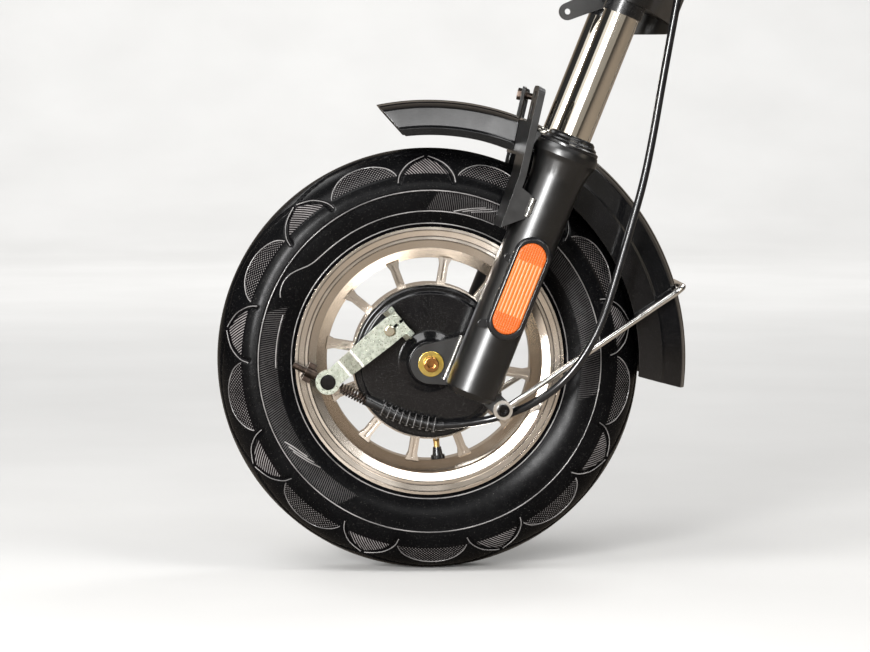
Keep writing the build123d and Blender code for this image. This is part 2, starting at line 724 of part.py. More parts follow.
# Fork, both sides: the lower leg with its dropout, the seal, the stanchion and the band under the yoke
sides = {"left": 1, "right": -1}
stay_eye = on_wheel(stay_eye_forward, 0, stay_eye_up)
eye_forward = (stay_eye - on_fork(0, 0, 0)).dot(fork_forward)
eye_up = (stay_eye - on_fork(0, 0, 0)).dot(fork_up)
tab_middle = stay_left - stay_eye_half - seat_gap - stay_tab / 2
for side_name, side in sides.items():
    leg_axis = Axis(on_fork(0, side * leg_side, 0), fork_up)
    with BuildPart() as lower_leg:
        with BuildSketch(along_leg(0, side * leg_side, 0)):
            with BuildLine():
                Polyline((0, -leg_below_axle), (leg_radius - leg_foot_chamfer, -leg_below_axle),
                         (leg_radius, leg_foot_chamfer - leg_below_axle), (leg_radius, leg_top - mouth_start),
                         (mouth_neck_radius, leg_top - mouth_neck_height),
                         (mouth_radius, leg_top - mouth_height),
                         (mouth_radius, leg_top - mouth_land), (mouth_rim_radius, leg_top),
                         (stanchion_radius + slide_fit, leg_top), (stanchion_radius + slide_fit, leg_floor),
                         (0, leg_floor), close=True)
            make_face()
        revolve(axis=leg_axis)
        with BuildSketch(along_leg(0, side * (dropout_inner + dropout_thickness / 2), 0)):
            with Locations((axle_lead, 0)):
                Circle(dropout_radius)
            with Locations((dropout_root, dropout_rise)):
                Rectangle(1, dropout_height)
            make_hull()
            with Locations((axle_lead, 0)):
                Circle(axle_radius + axle_fit, mode=Mode.SUBTRACT)
        extrude(amount=dropout_thickness / 2, both=True)
        with BuildSketch(along_leg(0, side * tab_middle, 0)):
            with Locations((eye_forward, eye_up)):
                Circle(stay_eye_radius - stay_tab_inset)
            with Locations(stay_tab_root):
                Rectangle(1, stay_tab_height)
            make_hull()
            with Locations((eye_forward, eye_up)):
                Circle(stay_eye_bore, mode=Mode.SUBTRACT)
        extrude(amount=stay_tab / 2, both=True)
    keep(lower_leg, f"lower_leg_{side_name}")

    with BuildPart() as dust_seal:
        with BuildSketch(along_leg(0, side * leg_side, leg_top)):
            with BuildLine():
                Polyline((stanchion_radius + slide_fit, 0), (seal_foot_radius, 0),
                         (seal_foot_radius, seal_step),
                         (seal_step_radius, 1.5 * seal_step), (seal_step_radius, 2 * seal_step),
                         (seal_neck_radius, 2.8 * seal_step), (seal_neck_radius, 3.3 * seal_step),
                         (seal_lip_radius, seal_height), (stanchion_radius + slide_fit, seal_height),
                         close=True)
            make_face()
        revolve(axis=leg_axis)
    keep(dust_seal, f"dust_seal_{side_name}")

    with BuildPart() as stanchion:
        with BuildSketch(across_leg(0, side * leg_side, leg_top - stanchion_hidden)):
            Circle(stanchion_radius)
            Circle(stanchion_radius - stanchion_wall, mode=Mode.SUBTRACT)
        extrude(amount=yoke_top - leg_top + stanchion_hidden)
        with BuildSketch(across_leg(0, side * leg_side, yoke_top - stanchion_plug)):
            Circle(stanchion_radius - stanchion_wall)
        extrude(amount=stanchion_plug)
    keep(stanchion, f"stanchion_{side_name}")

    with BuildPart() as stanchion_band:
        with BuildSketch(across_leg(0, side * leg_side, band_bottom)):
            Circle(stanchion_radius + band_wall)
            Circle(stanchion_radius + slide_fit, mode=Mode.SUBTRACT)
        extrude(amount=band_height)
    keep(stanchion_band, f"stanchion_band_{side_name}")

# Yoke: a forked crown that clamps both stanchions and holds the steerer
boss_rear = -steerer_setback - steering_boss_radius - 1
boss_front = steering_boss_radius - steerer_setback + 1


def at_boss_level(forward):
    """A place on the boss's level lower face, by its distance ahead of the leg axes."""
    return (forward, (boss_level - (forward - axle_lead) * sin(radians(rake))) / cos(radians(rake)))


with BuildPart() as yoke:
    for side in sides.values():
        with BuildSketch(across_leg(0, 0, yoke_bottom)):
            with Locations((0, side * leg_side)):
                Circle(clamp_radius)
            with Locations((-steerer_setback, 0)):
                Circle(steering_boss_radius)
            make_hull()
        extrude(amount=yoke_height)
    with BuildSketch(across_leg(-steerer_setback, 0, yoke_bottom - steering_boss_drop)):
        Circle(steering_boss_radius)
    extrude(amount=steering_boss_drop)
    with BuildSketch(along_leg(0, 0, 0)):
        with BuildLine():
            Polyline(at_boss_level(boss_rear), at_boss_level(boss_front),
                     (boss_front, yoke_bottom - steering_boss_drop - 1),
                     (boss_rear, yoke_bottom - steering_boss_drop - 1), close=True)
        make_face()
    extrude(amount=steering_boss_radius + 1, both=True, mode=Mode.SUBTRACT)
    with BuildSketch(along_leg(0, lug_left, yoke_bottom)):
        with Locations((lug_reach, -lug_drop)):
            Circle(lug_radius)
        with Locations((lug_root, yoke_height / 2)):
            Rectangle(2 * lug_root, yoke_height - 2 * lug_root)
        make_hull()
    extrude(amount=lug_thickness / 2, both=True)
    with BuildSketch(along_leg(0, lug_left, yoke_bottom)):
        with Locations((lug_reach, -lug_drop)):
            Circle(lug_hole_radius)
    extrude(amount=lug_thickness, both=True, mode=Mode.SUBTRACT)
    with BuildSketch(across_leg(0, 0, yoke_bottom - steering_boss_drop)):
        with Locations((0, leg_side), (0, -leg_side)):
            Circle(stanchion_radius + slide_fit)
        with Locations((-steerer_setback, 0)):
            Circle(steerer_seat_radius + slide_fit)
    extrude(amount=yoke_height + steering_boss_drop, mode=Mode.SUBTRACT)
keep(yoke, "yoke")

with BuildPart() as steerer:
    with BuildSketch(along_leg(-steerer_setback, 0, 0)):
        bore_radius = steerer_radius - steerer_wall
        tube_bottom = yoke_bottom - steerer_tail
        thread_bottom = bearing_bottom + steerer_bearing_length
        with BuildLine():
            Polyline((bore_radius, tube_bottom), (steerer_seat_radius, tube_bottom),
                     (steerer_seat_radius, bearing_bottom), (steerer_radius, bearing_bottom),
                     (steerer_radius, thread_bottom), (steerer_thread_radius, thread_bottom),
                     (steerer_thread_radius, thread_bottom + steerer_thread_length),
                     (bore_radius, thread_bottom + steerer_thread_length), close=True)
        make_face()
    revolve(axis=steering_axis)
keep(steerer, "steerer")

with BuildPart() as bearing_race:
    with BuildSketch(along_leg(-steerer_setback, 0, yoke_top)):
        with BuildLine():
            Polyline((steerer_seat_radius + slide_fit, 0), (race_radius, 0), (race_radius, race_height / 2),
                     (race_radius - race_lip, race_height), (steerer_seat_radius + slide_fit, race_height),
                     close=True)
        make_face()
    revolve(axis=steering_axis)
keep(bearing_race, "bearing_race")

# Flat guide on top of the yoke, with the hole that holds the cable
guide_middle = yoke_top + guide_thickness / 2
guide_slope = (cable_route[-1] - cable_route[-2]).normalized()
guide_share = (guide_middle - (cable_route[-2] - axle_foot).dot(fork_up)) / guide_slope.dot(fork_up)
guide_place = cable_route[-2] + guide_slope * guide_share
with BuildPart() as cable_guide:
    with BuildSketch(across_leg(0, 0, yoke_top)):
        with Locations(((guide_place - axle_foot).dot(fork_forward), guide_place.Y)):
            Circle(guide_radius)
        with Locations(guide_root):
            Circle(guide_root_radius)
        make_hull()
    extrude(amount=guide_thickness)
    with BuildSketch(Plane(origin=guide_place, z_dir=guide_slope)):
        Circle(cable_radius + seat_gap)
    extrude(amount=2 * guide_thickness, both=True, mode=Mode.SUBTRACT)
keep(cable_guide, "cable_guide")

# Axle bolt, its washers, the spacer and the nut
axle_left_end = dropout_inner + dropout_thickness + washer_thickness
with BuildPart() as axle:
    with BuildSketch(wheel_side(axle_left_end)):
        Circle(axle_head_radius)
    extrude(amount=-axle_head_height)
    fillet(axle.edges().group_by(Axis.Y)[-1], 1)
    with BuildSketch(wheel_side(axle_left_end + axle_head_height)):
        RegularPolygon(socket_across / 2, 6, major_radius=False)
    extrude(amount=socket_depth, mode=Mode.SUBTRACT)
    with BuildSketch(wheel_side(axle_left_end)):
        Circle(axle_radius)
    extrude(amount=2 * axle_left_end + nut_height + axle_tail)
keep(axle, "axle")
for side_name, side in sides.items():
    with BuildPart() as axle_washer:
        with BuildSketch(wheel_side(side * (dropout_inner + dropout_thickness))):
            Circle(washer_radius)
            Circle(axle_radius + axle_fit, mode=Mode.SUBTRACT)
        extrude(amount=-side * washer_thickness)
    keep(axle_washer, f"axle_washer_{side_name}")
with BuildPart() as axle_nut:
    with BuildSketch(wheel_side(-axle_left_end)):
        RegularPolygon(nut_across / 2, 6, major_radius=False)
        Circle(axle_radius + axle_fit, mode=Mode.SUBTRACT)
    extrude(amount=nut_height)
keep(axle_nut, "axle_nut")
with BuildPart() as axle_spacer:
    with BuildSketch(wheel_side(bearing_back - seat_gap)):
        Circle(spacer_radius)
        Circle(axle_radius + axle_fit, mode=Mode.SUBTRACT)
    extrude(amount=dropout_inner + bearing_back - seat_gap)
keep(axle_spacer, "axle_spacer")

# Fork bridge: a bent plate over the tyre, kinked above the straps that run down the legs, with two ears
upper_lean = fork_up * cos(radians(bridge_upper_tilt)) + fork_forward * sin(radians(bridge_upper_tilt))
lower_lean = fork_up * cos(radians(bridge_lower_tilt)) + fork_forward * sin(radians(bridge_lower_tilt))
upper_ahead = fork_forward * cos(radians(bridge_upper_tilt)) - fork_up * sin(radians(bridge_upper_tilt))
upper_height = bridge_top - bridge_kink
lower_height = bridge_kink - bridge_bottom


def bend_line(up):
    """How far ahead of the leg axes the plate's side bend runs, at a place up the legs."""
    tilt = bridge_upper_tilt if up > bridge_kink else bridge_lower_tilt
    return bridge_forward + (up - bridge_kink) * tan(radians(tilt))


front_view = Plane(origin=on_fork(0, 0, 0), x_dir=left, z_dir=fork_forward)
front_slope = bridge_bow / (bridge_half_width - bridge_flat_half_width)
slant_wall = bridge_wall * sqrt(1 + front_slope ** 2)
strap_across = bridge_half_width - bridge_strap_width / 2
ear_across = bridge_half_width - bridge_ear_width / 2
ear_hole_up = bridge_top - ear_hole_drop
lug_bottom = bridge_bottom + bridge_lug_rise
lug_top = lug_bottom + bridge_lug_height
flare_top = lug_top + bridge_lug_flare
ear_places = {}
for side_name, side in sides.items():
    ear_slant = fork_forward * -bridge_bow + left * (side * (bridge_half_width - bridge_flat_half_width))
    ear_normal = (ear_slant.cross(upper_lean) * side).normalized()
    ear_foot = on_fork(bridge_forward + front_slope * bridge_ear_width / 2, side * ear_across, bridge_kink)
    ear_place = ear_foot + upper_lean * ((ear_hole_up - bridge_kink) / cos(radians(bridge_upper_tilt)))
    ear_places[side_name] = Plane(origin=ear_place, x_dir=upper_lean, z_dir=ear_normal)
with BuildPart() as fork_bridge:
    with BuildSketch(across_leg(0, 0, bridge_kink)) as bridge_section:
        with BuildLine():
            inner_side = bridge_half_width - bridge_wall
            front = bridge_forward
            Polyline((front + bridge_bow, 0), (front + bridge_bow, bridge_flat_half_width),
                     (front, bridge_half_width), (0, bridge_half_width), (0, inner_side),
                     (front + bridge_wall * front_slope - slant_wall, inner_side),
                     (front + bridge_bow - bridge_wall, bridge_flat_half_width - front_slope),
                     (front + bridge_bow - bridge_wall, 0), close=True)
        make_face()
        mirror(about=Plane.XZ)
    extrude(amount=upper_height / cos(radians(bridge_upper_tilt)), dir=upper_lean)
    extrude(bridge_section.sketch, amount=lower_height / cos(radians(bridge_lower_tilt)), dir=-lower_lean)
    with BuildSketch(front_view):
        with Locations((0, bridge_web_top - bridge_web_height / 2)):
            Rectangle(2 * bridge_half_width, bridge_web_height)
        for side in sides.values():
            with Locations((side * strap_across, (bridge_web_top + bridge_bottom) / 2)):
                Rectangle(bridge_strap_width, bridge_web_top - bridge_bottom)
            with Locations((side * ear_across, (bridge_web_bottom + bridge_top) / 2)):
                RectangleRounded(bridge_ear_width, bridge_top - bridge_web_bottom, ear_corner)
    extrude(amount=2 * bridge_half_width, both=True, mode=Mode.INTERSECT)
    with BuildSketch(along_leg(0, 0, 0)):
        with BuildLine():
            ahead = bend_line(bridge_top) + bridge_bow + 1
            ear_front = bend_line(bridge_top) + ear_edge
            Polyline((ahead, bridge_bottom), (bend_line(bridge_bottom), bridge_bottom),
                     (bridge_lug_rear, lug_bottom), (bridge_lug_rear, lug_top),
                     (bend_line(flare_top) - bridge_flange, flare_top),
                     (bend_line(bridge_kink) - bridge_flange, bridge_kink),
                     (bend_line(bridge_top) - bridge_flange, bridge_top), (ear_front, bridge_top),
                     (ahead, ear_hole_up), close=True)
        make_face()
        fillet(vertices().group_by(Axis.Y)[-1], ear_round)
    extrude(amount=bridge_half_width + 1, both=True, mode=Mode.INTERSECT)
    with BuildSketch(across_leg(0, 0, bridge_bottom)):
        with Locations((0, leg_side), (0, -leg_side)):
            Circle(leg_radius + seat_gap)
    extrude(amount=bridge_top - bridge_bottom, mode=Mode.SUBTRACT)
    for ear_plane in ear_places.values():
        with BuildSketch(ear_plane):
            Circle(ear_hole_radius)
            with Locations((-ear_slot_drop, 0)):
                SlotOverall(ear_slot_length, ear_slot_width)
        extrude(amount=2 * bridge_wall, both=True, mode=Mode.SUBTRACT)
keep(fork_bridge, "fork_bridge")

# Bolt left in the right ear, where the bodywork was fastened
with BuildPart() as ear_bolt:
    with BuildSketch(ear_places["right"]):
        RegularPolygon(ear_bolt_radius, 6)
    extrude(amount=ear_bolt_head)
    with BuildSketch(ear_places["right"]):
        Circle(ear_hole_radius - slide_fit)
    extrude(amount=-ear_bolt_length)
keep(ear_bolt, "ear_bolt")

# Mudguard: two ribbed sections of one ring, in front of the bridge and behind it


def guard_plane(angle):
    """The plane through the axle at an angle above the rear, its x to the left and its y outwards."""
    outward = Vector(-cos(radians(angle)), 0, sin(radians(angle)))
    return Plane(origin=wheel_centre, x_dir=left, z_dir=left.cross(outward))


def guard_outline(depth, inset):
    """Half of the mudguard's section from the crown to the lip, set in by a wall's thickness."""
    crown = guard_radius - inset
    side = guard_half_width - inset
    shoulder = guard_radius - guard_shoulder_drop
    crease = shoulder - guard_side_height
    return [(0, crown), (7, crown), (8.2, crown - 1.2), (9.8, crown - 1.2), (11, crown - 0.4),
            (18, crown - 1.6), (19.2, crown - 3), (20.8, crown - 3.2), (22, crown - 2.6),
            (side - 9, crown - 4.6), (side - 4.5, shoulder - inset), (side - 1.6, crease + 1.4 - inset / 2),
            (side, crease - inset / 2), (side, guard_radius - depth)]


def guard_ring(start_angle, end_angle, depth):
    """A stretch of the mudguard's ring between two angles above the rear."""
    with BuildPart() as ring:
        with BuildSketch(guard_plane(start_angle)):
            with BuildLine():
                Polyline(*guard_outline(depth, 0), *reversed(guard_outline(depth, guard_wall)), close=True)
            make_face()
            mirror(about=Plane.YZ)
        revolve(axis=wheel_axis, revolution_arc=end_angle - start_angle)
    return ring.part


def end_cut(crown_angle, lip_angle, depth):
    """The plane square to the wheel's side through one end of the mudguard, from its crown to its lip."""
    tip = Vector(-cos(radians(crown_angle)), 0, sin(radians(crown_angle))) * guard_radius
    end_lip = Vector(-cos(radians(lip_angle)), 0, sin(radians(lip_angle))) * (guard_radius - depth)
    return Plane(origin=wheel_centre + tip, x_dir=left, z_dir=left.cross(tip - end_lip))


web_place = on_fork(bridge_forward + bridge_bow, 0, bridge_kink)
web_front_plane = Plane(origin=web_place + upper_ahead * seat_gap, z_dir=upper_ahead)
web_rear_plane = Plane(origin=web_place - upper_ahead * (bridge_wall + seat_gap), z_dir=upper_ahead)
with BuildPart() as mudguard_front:
    add(guard_ring(guard_middle_angle - guard_overlap_angle, guard_front_angle + guard_overlap_angle / 2,
                   guard_front_depth))
    split(bisect_by=web_front_plane, keep=Keep.TOP)
    split(bisect_by=end_cut(guard_front_angle, guard_front_lip_angle, guard_front_depth), keep=Keep.BOTTOM)
keep(mudguard_front, "mudguard_front")
with BuildPart() as mudguard_rear:
    add(guard_ring(guard_rear_angle - guard_overlap_angle / 2, guard_middle_angle + guard_overlap_angle,
                   guard_rear_depth))
    split(bisect_by=web_rear_plane, keep=Keep.BOTTOM)
    split(bisect_by=end_cut(guard_rear_angle, guard_rear_lip_angle, guard_rear_depth), keep=Keep.TOP)
keep(mudguard_rear, "mudguard_rear")

# Stay: one bent rod from leg to leg over the mudguard, with an eye pressed at each end
stay_corner = wheel_centre + Vector(-cos(radians(stay_angle)), 0, sin(radians(stay_angle))) \
    * (guard_radius + stay_radius + seat_gap)
corner_across = guard_half_width + stay_radius + 1
stay_start = stay_eye + (stay_corner - stay_eye).normalized() * (stay_eye_radius - stay_overlap)
stay_bend_point = stay_eye + (stay_corner - stay_eye).normalized() * (stay_eye_radius + stay_neck)
with BuildPart() as mudguard_stay:
    with BuildLine() as stay_line:
        FilletPolyline(stay_start + left * stay_left, stay_bend_point + left * stay_left,
                       stay_corner + left * corner_across, stay_corner - left * corner_across,
                       stay_bend_point - left * stay_left, stay_start - left * stay_left, radius=stay_bend)
    with BuildSketch(Plane(origin=stay_start + left * stay_left, z_dir=stay_line.wires()[0] % 0)):
        Circle(stay_radius)
    sweep(path=stay_line.wires()[0])
    for side in sides.values():
        with BuildSketch(Plane(origin=stay_eye + left * (side * stay_left), x_dir=(1, 0, 0), z_dir=-left)):
            Circle(stay_eye_radius)
            Circle(stay_eye_bore, mode=Mode.SUBTRACT)
        extrude(amount=stay_eye_half, both=True)
keep(mudguard_stay, "mudguard_stay")

# Socket screws that hold the stay to the tabs
for side_name, side in sides.items():
    with BuildPart() as stay_screw:
        head_place = side * (stay_left + stay_eye_half)
        head_end = head_place + side * stay_screw_head
        with BuildSketch(Plane(origin=stay_eye + left * head_place, x_dir=(1, 0, 0), z_dir=left * side)):
            Circle(stay_screw_radius)
        extrude(amount=stay_screw_head)
        chamfer(stay_screw.edges().group_by(Axis.Y)[-1 if side > 0 else 0], 0.6)
        with BuildSketch(Plane(origin=stay_eye + left * head_end, x_dir=(1, 0, 0), z_dir=left * side)):
            RegularPolygon(stay_screw_key / 2, 6, major_radius=False)
        extrude(amount=-stay_screw_head / 2, mode=Mode.SUBTRACT)
        with BuildSketch(Plane(origin=stay_eye + left * head_place, x_dir=(1, 0, 0), z_dir=left * -side)):
            Circle(stay_eye_bore - slide_fit)
        extrude(amount=2 * stay_eye_half + seat_gap + stay_tab + stay_screw_tail)
    keep(stay_screw, f"stay_screw_{side_name}")

# Side reflectors: an oblong housing on the leg and an orange lens let into it
reflector_back = leg_side + leg_radius + seat_gap
reflector_face = reflector_back + reflector_depth
for side_name, side in sides.items():
    with BuildPart() as reflector_housing:
        with BuildSketch(along_leg(reflector_forward, side * reflector_back, reflector_up)):
            SlotOverall(reflector_length, reflector_width, rotation=90)
        extrude(amount=-side * reflector_depth)
        for ear in ear_up:
            with BuildSketch(along_leg(reflector_forward, side * reflector_back, reflector_up)):
                with Locations((ear_forward, ear)):
                    Circle(ear_radius)
                with Locations((ear_root, ear * 0.85)):
                    Circle(ear_radius)
                make_hull()
            extrude(amount=-side * reflector_plate)
        outer_faces = reflector_housing.faces().group_by(Axis.Y)[-1 if side > 0 else 0]
        chamfer(outer_faces.edges(), reflector_edge)
        with BuildSketch(along_leg(reflector_forward, side * reflector_face, reflector_up)):
            SlotOverall(lens_length + 2 * lens_gap, lens_width + 2 * lens_gap, rotation=90)
        extrude(amount=side * lens_depth, mode=Mode.SUBTRACT)
    keep(reflector_housing, f"reflector_housing_{side_name}")
    with BuildPart() as reflector_lens:
        with BuildSketch(along_leg(reflector_forward, side * (reflector_face - lens_depth), reflector_up)):
            SlotOverall(lens_length, lens_width, rotation=90)
        extrude(amount=-side * (lens_depth + lens_proud))
        chamfer(reflector_lens.faces().group_by(Axis.Y)[-1 if side > 0 else 0].edges(), 1)
    keep(reflector_lens, f"reflector_lens_{side_name}")

for made_piece in made:
    export_step(made_piece.part, f"parts/{made_piece.part.label}.step")
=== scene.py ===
"""Front wheel and suspension fork of an electric tricycle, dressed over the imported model."""
import json
import logging
import math
from dataclasses import dataclass
from enum import Enum
from typing import Iterable, Sequence

import bmesh
import bpy
import numpy as np
from mathutils import Matrix, Vector


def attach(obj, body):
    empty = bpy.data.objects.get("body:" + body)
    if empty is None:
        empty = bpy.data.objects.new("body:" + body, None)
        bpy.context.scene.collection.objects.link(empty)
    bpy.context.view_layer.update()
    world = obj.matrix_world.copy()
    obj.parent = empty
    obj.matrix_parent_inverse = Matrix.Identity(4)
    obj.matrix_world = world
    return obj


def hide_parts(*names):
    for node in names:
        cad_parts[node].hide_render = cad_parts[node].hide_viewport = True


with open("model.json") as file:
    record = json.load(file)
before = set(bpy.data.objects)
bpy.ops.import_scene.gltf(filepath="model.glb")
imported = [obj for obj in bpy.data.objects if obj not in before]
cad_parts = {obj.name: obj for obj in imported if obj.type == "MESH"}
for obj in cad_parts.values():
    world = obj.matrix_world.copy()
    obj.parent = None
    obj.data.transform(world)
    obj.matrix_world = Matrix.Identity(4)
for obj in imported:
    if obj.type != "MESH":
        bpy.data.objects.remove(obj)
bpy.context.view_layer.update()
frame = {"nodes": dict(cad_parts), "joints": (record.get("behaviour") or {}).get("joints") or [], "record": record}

MM = 0.001
LOG = logging.getLogger("fork")

Node = bpy.types.Node
Socket = bpy.types.NodeSocket
Material = bpy.types.Material
Mesh = bpy.types.Mesh
Thing = bpy.types.Object
Tree = bpy.types.NodeTree
Number = Socket | float
Pair = tuple[float, float]
Triple = tuple[float, float, float]
LEFT = Vector((0, 1, 0))
UP = Vector((0, 0, 1))
HERE = Matrix.Identity(4)
NOISE_RANGE = (0.3, 0.7)
"""Where nearly all values of a noise lie."""
FAR = 99.0
"""Millimetres beyond anything on the tyre."""


@dataclass(frozen=True)
class Datum:
    """The lines that the whole part is measured from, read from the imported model."""

    wheel: Vector
    up_legs: Vector
    axle_lead: float = 39.3

    @property
    def ahead(self) -> Vector:
        """The direction square to the legs that points forward."""
        return Vector((self.up_legs.z, 0, -self.up_legs.x))

    def on_wheel(self, forward: float, across: float, up: float) -> Vector:
        """A point in metres, from millimetres ahead, to the left and above the wheel's centre."""
        return self.wheel + Vector((forward, across, up)) * MM

    def round_wheel(self, turn: float, radius: float, across: float) -> Vector:
        """A point in metres, from an angle in radians, ahead upwards, and millimetres off the axle and to the left."""
        return self.on_wheel(radius * math.cos(turn), across, radius * math.sin(turn))

    def on_fork(self, forward: float, across: float, up: float) -> Vector:
        """A point in metres, from millimetres ahead of the leg axes, to the left and up the legs from the axle."""
        foot = self.wheel - self.ahead * self.axle_lead * MM
        return foot + (self.ahead * forward + Vector((0, across, 0)) + self.up_legs * up) * MM


DATUM = Datum(
    wheel=Vector(frame["joints"][0]["pos_m"]),
    up_legs=Vector(frame["record"]["mounts"][0]["axis"]).normalized(),
)


def turn_to(origin: Vector, axis: Vector, across: Vector = LEFT) -> Matrix:
    """A placing matrix whose z runs along an axis.

    Args:
        origin: Where the new origin lies.
        axis: Direction of the new z.
        across: A direction that the new x keeps to as nearly as it can.

    Returns:
        The matrix.
    """
    z = axis.normalized()
    x = (across - z * across.dot(z)).normalized()
    turned = Matrix((x, z.cross(x), z)).transposed().to_4x4()
    turned.translation = origin
    return turned


class NodeMaker:
    """Short calls that add nodes to a tree and join them."""

    def __init__(self, tree: Tree) -> None:
        """Keeps the tree."""
        self.tree = tree
        self.given: bpy.types.NodeOutputs | None = None

    def fill(self, node: Node, inputs: dict[int | str, object]) -> Node:
        """Fills inputs of a node.

        Args:
            node: The node.
            inputs: For each input a constant, a socket, a node for its first output, the name of an input of the
                tree, or None to leave it alone.

        Returns:
            The same node.
        """
        for label, value in inputs.items():
            source = self.given[value] if isinstance(value, str) else value
            source = source.outputs[0] if isinstance(source, Node) else source
            if isinstance(source, Socket):
                self.tree.links.new(source, node.inputs[label])
            elif source is not None:
                node.inputs[label].default_value = source
        return node

    def add(self, kind: str, inputs: dict[int | str, object] | None = None, **settings: object) -> Node:
        """Adds a node, sets its properties and fills its inputs."""
        node = self.tree.nodes.new(kind)
        for key, value in settings.items():
            setattr(node, key, value)
        return self.fill(node, inputs or {})


class NodeSheet(NodeMaker):
    """A new material's node tree."""

    def __init__(self, name: str) -> None:
        """Makes the material with its shader and output."""
        self.material: Material = bpy.data.materials.new(name)
        self.material.use_nodes = True
        super().__init__(self.material.node_tree)
        self.shader: Node = self.tree.nodes["Principled BSDF"]
        self.place: Socket = self.add("ShaderNodeTexCoord").outputs["Object"]

    def give(self, inputs: dict[str, object]) -> None:
        """Fills inputs of the shader."""
        self.fill(self.shader, inputs)

    def now(self, name: str) -> Socket:
        """What feeds one of the shader's inputs so far."""
        return self.shader.inputs[name].links[0].from_socket

    def maths(self, operation: str, first: Number, second: Number | None = None, third: Number | None = None,
              clamp: bool = False) -> Socket:
        """A Math node's result, held between 0 and 1 if it is clamped."""
        return self.add("ShaderNodeMath", {0: first, 1: second, 2: third}, operation=operation,
                        use_clamp=clamp).outputs[0]

    def times(self, first: Number, second: Number) -> Socket:
        """A product."""
        return self.maths("MULTIPLY", first, second)

    def blend(self, share: Number, first: Socket | Sequence[float], second: Socket | Sequence[float]) -> Socket:
        """Two colours mixed by a share from 0 to 1; a colour without its fourth part is opaque."""
        colours = [value if isinstance(value, Socket) else (*value, 1) for value in (first, second)]
        return self.add("ShaderNodeMix", {0: share, 6: colours[0], 7: colours[1]}, data_type="RGBA").outputs[2]

    def choose(self, share: Number, first: Number, second: Number) -> Socket:
        """Two numbers mixed by a share from 0 to 1."""
        return self.add("ShaderNodeMix", {0: share, 2: first, 3: second}, data_type="FLOAT").outputs[0]

    def overpaint(self, share: Number, colour: Triple) -> None:
        """Lays a colour over the one that the shader has."""
        self.give({"Base Color": self.blend(share, self.now("Base Color"), colour)})

    def ramp(self, value: Number, low: float, high: float, to_low: float = 0.0, to_high: float = 1.0) -> Socket:
        """A value carried from one range to another and held inside it."""
        return self.add("ShaderNodeMapRange", {0: value, 1: low, 2: high, 3: to_low, 4: to_high},
                        clamp=True).outputs[0]

    def noise(self, scale: float, detail: float = 3.0) -> Socket:
        """Noise of so many lumps a metre, from about 0.3 to 0.7."""
        return self.add("ShaderNodeTexNoise", {"Vector": self.place, "Scale": scale,
                                               "Detail": detail}).outputs["Fac"]

    def wave(self, length: Socket, half_wave: float) -> Socket:
        """A sine over a length, from the length of half a wave."""
        return self.maths("SINE", self.times(length, math.pi / half_wave))

    def moved(self, origin: Vector, turn: Sequence[float] = (0, 0, 0)) -> Socket:
        """Object coordinates measured from a point and turned."""
        shift = self.add("ShaderNodeVectorMath", {0: self.place, 1: origin}, operation="SUBTRACT")
        return self.add("ShaderNodeMapping", {"Vector": shift, "Rotation": turn}).outputs[0]

    def split(self, vector: Socket) -> tuple[Socket, Socket, Socket]:
        """The three parts of a vector."""
        return tuple(self.add("ShaderNodeSeparateXYZ", {0: vector}).outputs)

    def from_axle(self, place: Socket) -> Socket:
        """Distance from the line that runs across the vehicle through the origin of some coordinates."""
        x, _, z = self.split(place)
        return self.maths("SQRT", self.maths("ADD", self.times(x, x), self.times(z, z)))

    def near(self, value: Socket, spots: Iterable[float], inner: float, outer: float, full: float) -> Number:
        """How near a value comes to any of some spots.

        Args:
            value: The value.
            spots: The values that it is compared with.
            inner: Within this distance the result is full.
            outer: Beyond this distance it is 0.
            full: The result at a spot.

        Returns:
            The sum over the spots, held between 0 and 1.
        """
        total: Number = 0.0
        for spot in spots:
            off = self.maths("ABSOLUTE", self.maths("SUBTRACT", value, spot))
            total = self.maths("ADD", total, self.ramp(off, inner, outer, full, 0.0), clamp=True)
        return total

    def bump(self, height: Socket, depth: float, strength: float = 1.0, under: Socket | None = None) -> None:
        """Gives the shader a bump whose full height is so many metres, over another one if that is named."""
        self.give({"Normal": self.add("ShaderNodeBump", {
            "Strength": strength, "Distance": depth, "Height": height, "Normal": under})})


@dataclass(frozen=True)
class Finish:
    """A surface with two close colours, uneven gloss, a fine grain and faint dust.

    Lumps, grain and specks are counted per metre, depths are in metres.
    """

    name: str
    base: Triple
    tint: Triple
    metallic: float = 0.0
    gloss: Pair = (0.3, 0.45)
    lumps: float = 60.0
    grain: float = 900.0
    grain_depth: float = 0.00004
    coat: float = 0.0
    dust: float = 0.0
    specular: float = 0.5
    specks: float = 2400.0
    speck_range: Pair = (0.66, 0.74)
    dust_colour: Triple = (0.5, 0.47, 0.42)
    clouds: Pair = (0.35, 0.65)
    gloss_lumps: float = 2.7
    coat_roughness: float = 0.05

    def start(self) -> NodeSheet:
        """Sets the shader's constants and the shared colour, gloss and grain.

        Returns:
            The sheet, for a finish that adds to it.
        """
        sheet = NodeSheet(self.name)
        colour = sheet.blend(sheet.ramp(sheet.noise(self.lumps, detail=4.0), *self.clouds), self.base, self.tint)
        if self.dust:
            specks = sheet.ramp(sheet.noise(self.specks, detail=1.0), *self.speck_range, 0.0, self.dust)
            colour = sheet.blend(specks, colour, self.dust_colour)
        gloss = sheet.ramp(sheet.noise(self.lumps * self.gloss_lumps, detail=5.0), *NOISE_RANGE, *self.gloss)
        sheet.give({"Metallic": self.metallic, "Coat Weight": self.coat, "Coat Roughness": self.coat_roughness,
                    "Specular IOR Level": self.specular, "Base Color": colour, "Roughness": gloss})
        sheet.bump(sheet.noise(self.grain, detail=2.0), self.grain_depth)
        return sheet

    def build(self) -> Material:
        """Makes the material."""
        return self.start().material


